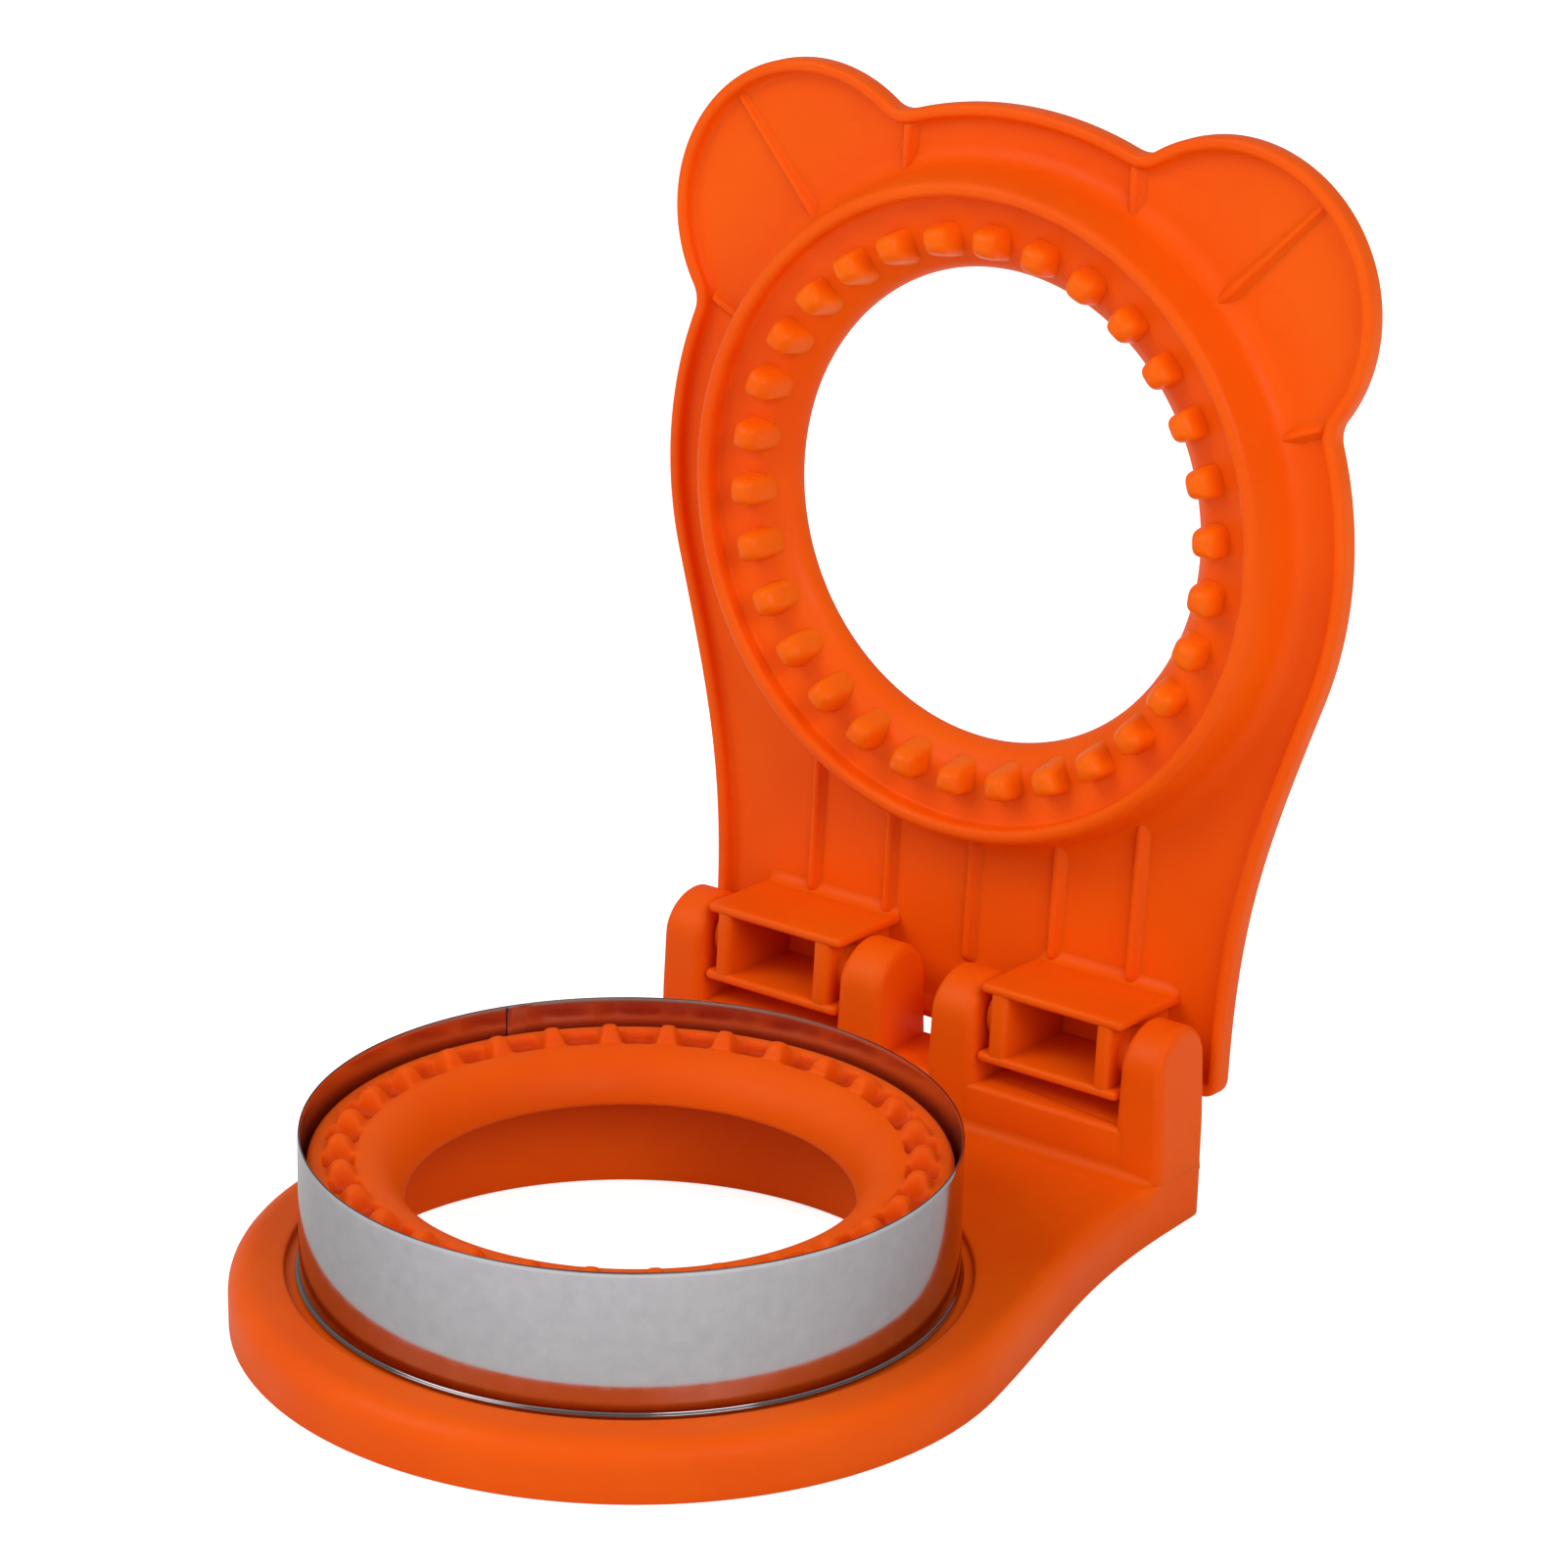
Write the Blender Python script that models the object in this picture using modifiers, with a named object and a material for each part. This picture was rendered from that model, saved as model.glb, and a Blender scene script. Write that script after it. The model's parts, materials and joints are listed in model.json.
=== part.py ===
"""Sandwich cutter and sealer: a round steel cutter in a moulded base, under a hinged pressing lid.

Lengths are in metres and heights are above the table. Each piece is drawn with the lid closed and the
cutter's centre line as the Z axis. The hinge runs along X behind the cutter, and the front is -Y.
"""
import math

import bmesh
import bpy
from mathutils import Matrix, Vector

# Hinge, and how far the lid stands open at rest
HINGE_Y = 0.0710
HINGE_Z = 0.0247
OPEN_DEG = 93.2
PIN_RADIUS = 0.0015
PIN_CLEARANCE = 0.00006
PIN_CHAMFER = 0.0003
PIN_IN_BOX = 0.0019
PIN_IN_TOWER = 0.0048
PIN_END_GAP = 0.0003

# Base: a round tray that narrows to a neck under the hinge
BASE_RADIUS = 0.0546
BASE_NECK_START_DEG = 10.9
BASE_HALF_WIDTH = 0.0442
BASE_NECK_Y = 0.0683
BASE_BACK_Y = 0.0772
BASE_BACK_CORNER = 0.0022
BASE_INNER_CORNER = 0.0006
BASE_DECK_Z = 0.0084
BASE_WALL = 0.0022
BASE_TOP_ROUND = 0.0032
RECESS_GAP = 0.0014
RECESS_ROUND = 0.0004
LEDGE_Z = 0.0074
LEDGE_THICKNESS = 0.0040
WELL_RADIUS = 0.0479
WELL_WALL = 0.0018
BASE_RIB_THICKNESS = 0.0016
BASE_RIB_LIFT = 0.0008
BASE_RIB_ANGLES_DEG = (-90, -60, -30, 0, 30, 60, 90)

# Hinge step across the neck, and the four towers that hold the pins
STEP_HALF_WIDTH = 0.0441
STEP_FRONT_Y = 0.0644
STEP_BACK_Y = 0.0767
STEP_ROOT_Z = 0.0040
STEP_TOP_Z = 0.0154
STEP_ROUND = 0.0008
STEP_RIB_X = (-0.0245, 0, 0.0245)
TOWERS_X = ((0.0368, 0.0441), (0.0043, 0.0119))
TOWER_TOP_Z = 0.0304
TOWER_ROUND = 0.0014
TOWER_CORE_WALL = 0.0020
TOWER_CORE_TOP_Z = 0.0192

# Steel cutter
CUTTER_RADIUS = 0.0450
CUTTER_WALL = 0.0004
CUTTER_TOP_Z = 0.0281
CUTTER_EDGE_WIDTH = 0.0002
CUTTER_EDGE_TAPER = 0.0006
CUTTER_FOOT_WIDTH = 0.0005
CUTTER_FOOT_BEND = 0.0004
LAP_START_DEG = 146
LAP_END_DEG = 152
LAP_THICKNESS = 0.0003
LAP_TOP_INSET = 0.0007
SEAT_GAP = 0.0003

# Sealing ring: a round crest, and ridges on a shelf that fills the inside of the cutter
CRIMP_COUNT = 30
SEAL_GAP = 0.0003
SKIRT_DRAFT = 0.0002
SKIRT_FOOT_WALL = 0.0015
SKIRT_WALL = 0.0018
SHELF_Z = 0.0241
SHELF_ROUND = 0.0006
CREST_Z = 0.0242
CREST_WIDTH = 0.0065
CREST_SIDE = 0.0009
POCKET_FLOOR_Z = 0.0230
POCKET_WIDTH = 0.0044
POCKET_SLOPE = 0.0004
FUNNEL_LIP_RADIUS = 0.0306
FUNNEL_LIP_Z = 0.0177
FUNNEL_LIP_THICKNESS = 0.0010
FUNNEL_ROOT_WIDTH = 0.0037
FLANGE_WIDTH = 0.0035
FLANGE_THICKNESS = 0.0027
FLANGE_LIFT = 0.0004
RIDGE_ROOT_Z = 0.0224
RIDGE_ROOT_WIDTHS = (0.0044, 0.0044)
RIDGE_INNER_WIDTH = 0.0003
RIDGE_OUTER_INSET = 0.0014
RIDGE_TOP_Z = (0.0257, 0.0257)
RIDGE_TOP_WIDTHS = (0.0024, 0.0024)
RIDGE_TOP_INSETS = (0.0012, 0.0015)
RIDGE_ROUND = 0.0008

# Lid plate: a round head with two ears, necked in at the hinge
LID_RADIUS = 0.0577
LID_NECK_START_DEG = 17.7
LID_HALF_WIDTH = 0.0447
LID_NECK_Y = 0.0723
LID_HEEL_Y = 0.0784
LID_HEEL_CORNER = 0.0024
EAR_X = 0.0352
EAR_Y = 0.0357
EAR_RADIUS = 0.0234
EAR_FILLET = 0.0022
LID_TOP_Z = 0.0361
LID_FLOOR_Z = 0.0345
LID_RIM_Z = 0.0324
LID_RIM_WALL = 0.0019
LID_EDGE_ROUND = 0.0008
HEEL_WALL_Z = 0.0311
HEEL_WALL_INSET = 0.0001
HEEL_WALL_ROOT_Z = 0.0334

# Pressing ring under the lid, and the funnel up to the lid's hole
RING_FOOT_RADIUS = 0.0516
RING_FOOT_Z = 0.0329
RING_FOOT_SINK = 0.0001
RING_TOP_RADIUS = 0.0493
RING_RADIUS = 0.0474
RING_PEAK_RADII = (0.0463, 0.0465)
RING_PEAK_Z = 0.0256
RING_ROUND = 0.0009
RING_INNER_RADIUS = 0.04545
RING_ROOT_Z = 0.0350
PRESS_FLOOR_ROUND = 0.0006
PRESS_FLOOR_OUTER_Z = 0.0285
PRESS_FLOOR_INNER_RADIUS = 0.0415
PRESS_FLOOR_INNER_Z = 0.0290
LID_HOLE_RADIUS = 0.0345
LID_HOLE_Z = 0.0342
LID_HOLE_MOUTH_RADIUS = 0.0364
GROOVE_OUTER_RADIUS = 0.0472
GROOVE_FOOT_RADIUS = 0.0468
GROOVE_FLOOR_Z = 0.0310
GROOVE_BEND_RADIUS = 0.0420
GROOVE_INNER_RADIUS = 0.0380
GROOVE_BEND_Z = 0.0346

# Bumps that push the bread into the pockets
BUMP_TIP_Z = 0.0248
BUMP_TIP_RADII = (0.0374, 0.0411)
BUMP_TIP_WIDTHS = (0.0032, 0.0042)
BUMP_ROOT_Z = (0.0331, 0.0302)
BUMP_ROOT_RADII = (0.0359, 0.0420)
BUMP_ROOT_WIDTHS = (0.0042, 0.0055)
BUMP_ROUND = 0.0009

# Ribs under the lid plate
RIB_DROP = 0.0012
RIB_ROOT = 0.0007
RIB_WIDTH = 0.0014
RIB_START_RADIUS = 0.0486
BACK_RIBS_X = (-0.0281, -0.0146, 0.0146, 0.0281)
MIDDLE_RIB_END_Y = 0.0692
NOTCH_RIB_X = 0.0190
NOTCH_RIB_END_Y = -0.0530
FAN_RIBS = ((43.3, 0.0722), (67.4, 0.0566))

# Knuckle boxes under the lid's heel
BOX_X = (0.0123, 0.0363)
BOX_WALLS_X = ((0.0141, 0.0171), (0.0320, 0.0346))
BOX_FRONT_Y = 0.0650
BOX_BACK_Y = 0.0769
BOX_PLATE = 0.0014
BOX_PLATE_LAP = 0.0003
BOX_MOUTH_Z = 0.0188
BOX_WALL_INSET = 0.0002
BOX_ROUND = 0.0004
BOX_BOSS_RADIUS = 0.0036
BOX_BOSS_GAP = 0.0004

# How finely round shapes are divided
TURN_STEPS = 72
PIN_STEPS = 24
ARC_STEP_DEG = 5
FLANK_STEPS = 8
FLANK_PULL_SHARE = 1.2
CURVE_STEPS = 3
FUNNEL_STEPS = 5
ROUND_STEPS = 2
MERGE = 0.00001
FLAT_DEG = 0.1
PROUD = 0.0010
SHARP_DEG = 32


def new_collection(name, hidden):
    """A collection in the scene, hidden where it holds only tools."""
    group = bpy.data.collections.new(name)
    bpy.context.scene.collection.children.link(group)
    group.hide_render = hidden
    return group


for thing in list(bpy.data.objects):
    bpy.data.objects.remove(thing, do_unlink=True)
PIECES = new_collection("sandwich_cutter_sealer", False)
TOOLS = new_collection("cutters", True)


# Building blocks


def add_tool(name, data):
    """A hidden object that shapes a piece."""
    tool = bpy.data.objects.new(name, data)
    TOOLS.objects.link(tool)
    tool.hide_render = True
    tool.display_type = "WIRE"
    return tool


def add_shape(name, shape):
    """A tool from a bmesh."""
    bmesh.ops.recalc_face_normals(shape, faces=shape.faces)
    mesh = bpy.data.meshes.new(name)
    shape.to_mesh(mesh)
    shape.free()
    return add_tool(name, mesh)


def to_mesh(tool):
    """Replaces a tool by the clean mesh that its curve and modifiers make."""
    bpy.context.view_layer.update()
    graph = bpy.context.evaluated_depsgraph_get()
    mesh = bpy.data.meshes.new_from_object(tool.evaluated_get(graph))
    mesh.transform(tool.matrix_world)
    shape = bmesh.new()
    shape.from_mesh(mesh)
    bmesh.ops.remove_doubles(shape, verts=shape.verts, dist=MERGE)
    bmesh.ops.dissolve_limit(shape, angle_limit=math.radians(FLAT_DEG), verts=shape.verts, edges=shape.edges)
    name = tool.name
    bpy.data.objects.remove(tool, do_unlink=True)
    return add_shape(name, shape)


def prism(name, outline, low, high):
    """A flat outline in X and Y, made solid between two heights."""
    curve = bpy.data.curves.new(name, "CURVE")
    curve.dimensions = "2D"
    curve.fill_mode = "BOTH"
    curve.extrude = (high - low) / 2
    line = curve.splines.new("POLY")
    line.points.add(len(outline) - 1)
    for point, (x, y) in zip(line.points, outline):
        point.co = (x, y, 0, 1)
    line.use_cyclic_u = True
    tool = add_tool(name, curve)
    tool.location.z = (high + low) / 2
    return to_mesh(tool)


def turned(name, profile):
    """A profile of (radius, height) points turned about the Z axis, outer side downward.

    A profile that starts on the axis also ends there. Any other is closed back to its first point.
    """
    sides = [(index, index + 1) for index in range(len(profile) - 1)]
    if profile[0][0] > 0:
        sides.append((len(profile) - 1, 0))
    mesh = bpy.data.meshes.new(name)
    mesh.from_pydata([(radius, 0, height) for radius, height in profile], sides, [])
    tool = add_tool(name, mesh)
    screw = tool.modifiers.new("Turn", "SCREW")
    screw.axis = "Z"
    screw.steps = TURN_STEPS
    screw.render_steps = TURN_STEPS
    screw.use_merge_vertices = True
    screw.merge_threshold = MERGE
    return to_mesh(tool)


def block(name, low, high):
    """A box between two corners."""
    shape = bmesh.new()
    bmesh.ops.create_cube(shape, size=1)
    for vert in shape.verts:
        vert.co = [b if share > 0 else a for a, b, share in zip(low, high, vert.co)]
    return add_shape(name, shape)


def rod(name, radius, start_x, end_x):
    """A round bar along the hinge line."""
    shape = bmesh.new()
    place = Matrix.Translation(((start_x + end_x) / 2, HINGE_Y, HINGE_Z)) @ Matrix.Rotation(math.pi / 2, 4, "Y")
    bmesh.ops.create_cone(
        shape, cap_ends=True, segments=PIN_STEPS, radius1=radius, radius2=radius,
        depth=abs(end_x - start_x), matrix=place,
    )
    return add_shape(name, shape)


def spoke(name, angle_deg, start, end, width, low, high):
    """A straight rib that runs outward from the centre line, its angle measured from the front."""
    rib = block(name, (-width / 2, -end, low), (width / 2, -start, high))
    rib.data.transform(Matrix.Rotation(math.radians(angle_deg), 4, "Z"))
    return rib


def tapered_ring(name, levels, start_share=0):
    """One tapered block for each crimp. Each level gives heights, radii and widths, inner end first."""
    shape = bmesh.new()
    for index in range(CRIMP_COUNT):
        turn = Matrix.Rotation(math.tau * (index + start_share) / CRIMP_COUNT, 3, "Z")
        rows = []
        for heights, radii, widths in levels:
            inner = (widths[0] / 2, -radii[0], heights[0])
            outer = (widths[1] / 2, -radii[1], heights[1])
            corners = [(-inner[0], *inner[1:]), inner, outer, (-outer[0], *outer[1:])]
            rows.append([shape.verts.new(turn @ Vector(corner)) for corner in corners])
        for lower, upper in zip(rows, rows[1:]):
            for side in range(4):
                after = (side + 1) % 4
                shape.faces.new((lower[side], lower[after], upper[after], upper[side]))
        shape.faces.new(rows[0])
        shape.faces.new(rows[-1])
    return add_shape(name, shape)


def round_edges(piece, width, steps=ROUND_STEPS):
    """Rounds every sharp edge of a piece."""
    bevel = piece.modifiers.new("Round", "BEVEL")
    bevel.width = width
    bevel.segments = steps
    bevel.limit_method = "ANGLE"
    bevel.angle_limit = math.radians(SHARP_DEG)
    return bevel


def round_level(piece, height, width):
    """Rounds only the edges that lie at one height."""
    mesh = piece.data
    weights = mesh.attributes.new("bevel_weight_edge", "FLOAT", "EDGE")
    for edge in mesh.edges:
        ends = [mesh.vertices[index].co.z for index in edge.vertices]
        weights.data[edge.index].value = float(all(abs(z - height) < MERGE for z in ends))
    bevel = round_edges(piece, width)
    bevel.limit_method = "WEIGHT"


def combine(piece, tool, operation):
    """Adds a tool to a piece, or cuts it away."""
    change = piece.modifiers.new(tool.name, "BOOLEAN")
    change.operation = operation
    change.solver = "EXACT"
    change.object = tool


# Outlines and curves


def arc(centre, radius, start, end, turn=1):
    """Points along an arc between two angles, counter-clockwise when turn is 1 and clockwise when it is -1."""
    sweep = turn * ((turn * (end - start)) % math.tau)
    steps = max(2, round(abs(sweep) / math.radians(ARC_STEP_DEG)))
    angles = [start + sweep * index / steps for index in range(steps + 1)]
    return [(centre[0] + radius * math.cos(a), centre[1] + radius * math.sin(a)) for a in angles]


def quarter(start, end, level_first, steps=CURVE_STEPS):
    """Points along a quarter of an ellipse, leaving its start level or upright."""
    points = []
    for index in range(steps + 1):
        turn = math.pi / 2 * index / steps
        quick, slow = math.sin(turn), 1 - math.cos(turn)
        shares = (quick, slow) if level_first else (slow, quick)
        points.append(tuple(a + (b - a) * share for a, b, share in zip(start, end, shares)))
    return points


def flank(start, heading, end):
    """A smooth side that leaves an arc along its heading and ends straight back."""
    start, end = Vector(start), Vector(end)
    pull = FLANK_PULL_SHARE * (end - start).length
    leave, arrive = Vector(heading) * pull, Vector((0, 1)) * pull
    points = []
    for index in range(1, FLANK_STEPS + 1):
        s = index / FLANK_STEPS
        point = start * (2 * s**3 - 3 * s**2 + 1) + leave * (s**3 - 2 * s**2 + s)
        point += end * (3 * s**2 - 2 * s**3) + arrive * (s**3 - s**2)
        points.append(tuple(point))
    return points


def mirrored(half):
    """A whole outline from its right half, which starts on the middle line."""
    return half + [(-x, y) for x, y in reversed(half[1:])]


def ear_side(radius, ear_radius, fillet, neck_start):
    """The right side of the lid from the front: head, fillet, ear, fillet, and head again up to the neck."""
    ear = Vector((EAR_X, -EAR_Y))
    reach = radius + fillet
    direction = math.atan2(ear.y, ear.x)
    cosine = (reach**2 + ear.length**2 - (ear_radius + fillet) ** 2) / (2 * reach * ear.length)
    spread = math.acos(cosine)
    middles = [Vector((math.cos(a), math.sin(a))) * reach for a in (direction - spread, direction + spread)]
    to_ear = [math.atan2(*reversed(ear - middle)) for middle in middles]
    from_ear = [angle + math.pi for angle in to_ear]
    side = arc((0, 0), radius, -math.pi / 2, direction - spread)
    side += arc(middles[0], fillet, direction - spread + math.pi, to_ear[0], -1)[1:]
    side += arc(ear, ear_radius, from_ear[0], from_ear[1])[1:]
    side += arc(middles[1], fillet, to_ear[1], direction + spread + math.pi, -1)[1:]
    return side + arc((0, 0), radius, direction + spread, neck_start)[1:]


def necked(side, radius, neck_start, half_width, neck_y, back_y, corner):
    """Closes a right side with its flank, its straight neck and its back corner, and mirrors it."""
    heading = (-math.sin(neck_start), math.cos(neck_start))
    side = side + flank(side[-1], heading, (half_width, neck_y))
    side += arc((half_width - corner, back_y - corner), corner, 0, math.pi / 2)
    return mirrored(side)


def base_outline(inset, corner):
    """The base seen from above, drawn in by an inset."""
    radius = BASE_RADIUS - inset
    neck_start = math.radians(BASE_NECK_START_DEG)
    side = arc((0, 0), radius, -math.pi / 2, neck_start)
    return necked(side, radius, neck_start, BASE_HALF_WIDTH - inset, BASE_NECK_Y, BASE_BACK_Y - inset, corner)


def lid_outline(inset):
    """The lid seen from above, drawn in by an inset."""
    radius = LID_RADIUS - inset
    neck_start = math.radians(LID_NECK_START_DEG)
    side = ear_side(radius, EAR_RADIUS - inset, EAR_FILLET + inset, neck_start)
    corner = LID_HEEL_CORNER - inset
    return necked(side, radius, neck_start, LID_HALF_WIDTH - inset, LID_NECK_Y, LID_HEEL_Y - inset, corner)


# Base


def tower_shape(name, near_x, far_x):
    """An upright tower with a round top, its corners rounded all over."""
    reach = TOWER_TOP_Z - HINGE_Z
    front, back = HINGE_Y - STEP_FRONT_Y, STEP_BACK_Y - HINGE_Y
    dome = quarter((-front, 0), (0, reach), False) + quarter((0, reach), (back, 0), True)[1:]
    outline = [(-front, STEP_ROOT_Z - HINGE_Z)] + dome + [(back, STEP_ROOT_Z - HINGE_Z)]
    tower = prism(name, outline, near_x, far_x)
    tower.data.transform(Matrix(((0, 0, 1, 0), (1, 0, 0, HINGE_Y), (0, 1, 0, HINGE_Z), (0, 0, 0, 1))))
    round_edges(tower, TOWER_ROUND)
    return tower


def tower_spans():
    """Each tower's name, its low and high X, and the X of the face that looks at the knuckle box."""
    spans = []
    for side, sign in (("left", -1), ("right", 1)):
        for place, (near, far) in zip(("outer", "inner"), TOWERS_X):
            low, high = sorted((sign * near, sign * far))
            spans.append((side + "_" + place, low, high, sign * (near if place == "outer" else far)))
    return spans


def hollow_shape():
    """The open underside of the base, with its ribs left standing."""
    hollow = prism("base_hollow", base_outline(BASE_WALL, BASE_INNER_CORNER), -PROUD, BASE_DECK_Z - BASE_WALL)
    core_low = (-(STEP_HALF_WIDTH - BASE_WALL), STEP_FRONT_Y + BASE_WALL, -PROUD)
    core_high = (STEP_HALF_WIDTH - BASE_WALL, STEP_BACK_Y - BASE_WALL, STEP_TOP_Z - BASE_WALL)
    combine(hollow, block("step_core", core_low, core_high), "UNION")
    for name, low_x, high_x, _ in tower_spans():
        low = (low_x + TOWER_CORE_WALL, STEP_FRONT_Y + TOWER_CORE_WALL, STEP_ROOT_Z)
        high = (high_x - TOWER_CORE_WALL, STEP_BACK_Y - TOWER_CORE_WALL, TOWER_CORE_TOP_Z)
        combine(hollow, block("tower_core_" + name, low, high), "UNION")
    wall = WELL_RADIUS + WELL_WALL
    drum = [(0, STEP_TOP_Z), (wall, STEP_TOP_Z), (wall, -BASE_WALL), (0, -BASE_WALL)]
    combine(hollow, turned("well_wall", drum), "DIFFERENCE")
    for angle in BASE_RIB_ANGLES_DEG:
        rib = spoke(
            "base_rib", angle, WELL_RADIUS, BASE_RADIUS, BASE_RIB_THICKNESS, BASE_RIB_LIFT, BASE_DECK_Z,
        )
        combine(hollow, rib, "DIFFERENCE")
    for x in STEP_RIB_X:
        start_y = math.sqrt(WELL_RADIUS**2 - x**2)
        low = (x - BASE_RIB_THICKNESS / 2, start_y, BASE_RIB_LIFT)
        high = (x + BASE_RIB_THICKNESS / 2, STEP_BACK_Y, STEP_TOP_Z)
        combine(hollow, block("step_rib", low, high), "DIFFERENCE")
    return to_mesh(hollow)


def well_profile():
    """The recess, the bore under the cutter and the room under the ledge, from the top down."""
    ledge_foot = LEDGE_Z - LEDGE_THICKNESS
    bore = skirt_radius() + SEAL_GAP
    recess = CUTTER_RADIUS + CUTTER_FOOT_WIDTH + RECESS_GAP
    return [
        (0, STEP_TOP_Z),
        (recess + RECESS_ROUND, STEP_TOP_Z),
        (recess + RECESS_ROUND, BASE_DECK_Z),
        (recess, BASE_DECK_Z - RECESS_ROUND),
        (recess, LEDGE_Z),
        (bore, LEDGE_Z),
        (bore, ledge_foot),
        (WELL_RADIUS, ledge_foot),
        (WELL_RADIUS, -PROUD),
        (0, -PROUD),
    ]


def pin_reach(face_x):
    """The two ends of a pin, in its tower and in its knuckle box, from the tower face it leaves."""
    sign = math.copysign(1, face_x)
    outer = abs(face_x) > BOX_X[1]
    wall = BOX_WALLS_X[1][1] if outer else BOX_WALLS_X[0][0]
    inward = -1 if outer else 1
    return sign * (abs(face_x) - inward * PIN_IN_TOWER), sign * (wall + inward * PIN_IN_BOX)


def base_shell():
    """The moulded base: deck, neck, hinge step and towers, open underneath."""
    base = prism("base_shell", base_outline(0, BASE_BACK_CORNER), 0, BASE_DECK_Z)
    round_level(base, BASE_DECK_Z, BASE_TOP_ROUND)
    step = block(
        "hinge_step", (-STEP_HALF_WIDTH, STEP_FRONT_Y, STEP_ROOT_Z), (STEP_HALF_WIDTH, STEP_BACK_Y, STEP_TOP_Z),
    )
    round_edges(step, STEP_ROUND)
    combine(base, step, "UNION")
    for name, low_x, high_x, _ in tower_spans():
        combine(base, tower_shape("tower_" + name, low_x, high_x), "UNION")
    combine(base, hollow_shape(), "DIFFERENCE")
    combine(base, turned("well", well_profile()), "DIFFERENCE")
    for name, _, _, face_x in tower_spans():
        tower_end, box_end = pin_reach(face_x)
        end = tower_end + math.copysign(PIN_END_GAP, tower_end - box_end)
        combine(base, rod("pin_bore_" + name, PIN_RADIUS + PIN_CLEARANCE, end, box_end), "DIFFERENCE")
    return base


def hinge_pins():
    """Four short pins, each from a blind bore in its tower into the knuckle box."""
    pins = []
    for name, _, _, face_x in tower_spans():
        pin = rod("hinge_pin_" + name, PIN_RADIUS, *pin_reach(face_x))
        round_edges(pin, PIN_CHAMFER, 1)
        pins.append(pin)
    return pins


# Cutter and sealing ring


def cutter_ring():
    """The steel band: tapered at its cutting edge, turned out at its foot, and lapped on itself."""
    inner = CUTTER_RADIUS - CUTTER_WALL
    middle = CUTTER_RADIUS - CUTTER_WALL / 2
    foot = LEDGE_Z + SEAT_GAP
    shoulder = CUTTER_TOP_Z - CUTTER_EDGE_TAPER
    ring = turned("cutter_ring", [
        (middle + CUTTER_EDGE_WIDTH / 2, CUTTER_TOP_Z),
        (CUTTER_RADIUS, shoulder),
        (CUTTER_RADIUS, foot + CUTTER_WALL + CUTTER_FOOT_BEND),
        (CUTTER_RADIUS + CUTTER_FOOT_BEND, foot + CUTTER_WALL),
        (CUTTER_RADIUS + CUTTER_FOOT_WIDTH, foot + CUTTER_WALL),
        (CUTTER_RADIUS + CUTTER_FOOT_WIDTH, foot),
        (inner + CUTTER_FOOT_BEND, foot),
        (inner, foot + CUTTER_FOOT_BEND),
        (inner, shoulder),
        (middle - CUTTER_EDGE_WIDTH / 2, CUTTER_TOP_Z),
    ])
    start, end = math.radians(LAP_START_DEG), math.radians(LAP_END_DEG)
    strip = arc((0, 0), middle, start, end) + arc((0, 0), inner - LAP_THICKNESS, end, start, -1)
    low = foot + CUTTER_FOOT_BEND + LAP_TOP_INSET
    combine(ring, prism("lap", strip, low, shoulder - LAP_TOP_INSET), "UNION")
    return ring


def skirt_radius():
    """The foot of the sealing ring's skirt, clear of the lap inside the cutter."""
    return CUTTER_RADIUS - CUTTER_WALL - LAP_THICKNESS - SEAL_GAP


def sealing_profile():
    """The sealing ring's section: shelf, skirt, flange, hollow, funnel, round crest and pocket floor."""
    foot = skirt_radius()
    top = foot - SKIRT_DRAFT
    flange_top = FLANGE_LIFT + FLANGE_THICKNESS
    roof = POCKET_FLOOR_Z - SKIRT_WALL
    crest = FUNNEL_LIP_RADIUS + CREST_WIDTH
    profile = [
        (top - SHELF_ROUND, SHELF_Z),
        (top, SHELF_Z - SHELF_ROUND),
        (foot, flange_top),
        (foot + FLANGE_WIDTH, flange_top),
        (foot + FLANGE_WIDTH, FLANGE_LIFT),
        (foot - SKIRT_FOOT_WALL, FLANGE_LIFT),
        (top - SKIRT_WALL, roof),
        (FUNNEL_LIP_RADIUS + FUNNEL_ROOT_WIDTH, roof),
        (FUNNEL_LIP_RADIUS + FUNNEL_LIP_THICKNESS, FUNNEL_LIP_Z),
    ]
    profile += quarter((FUNNEL_LIP_RADIUS, FUNNEL_LIP_Z), (crest, CREST_Z), False, FUNNEL_STEPS)
    profile += quarter((crest, CREST_Z), (crest + CREST_SIDE, POCKET_FLOOR_Z), True)[1:]
    return profile + [
        (crest + POCKET_WIDTH - POCKET_SLOPE, POCKET_FLOOR_Z),
        (crest + POCKET_WIDTH, SHELF_Z),
    ]


def sealing_ring():
    """The crimping insert, with its ridges between the places where the lid's bumps come down."""
    ring = turned("sealing_ring", sealing_profile())
    crest = FUNNEL_LIP_RADIUS + CREST_WIDTH
    inner = crest - RIDGE_INNER_WIDTH
    outer = skirt_radius() - SKIRT_DRAFT - RIDGE_OUTER_INSET
    ridges = tapered_ring("ridges", [
        ((RIDGE_ROOT_Z, RIDGE_ROOT_Z), (inner, outer), RIDGE_ROOT_WIDTHS),
        (RIDGE_TOP_Z, (inner + RIDGE_TOP_INSETS[0], outer - RIDGE_TOP_INSETS[1]), RIDGE_TOP_WIDTHS),
    ], 1 / 2)
    round_edges(ridges, RIDGE_ROUND)
    combine(ring, ridges, "UNION")
    return ring


# Lid


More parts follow.
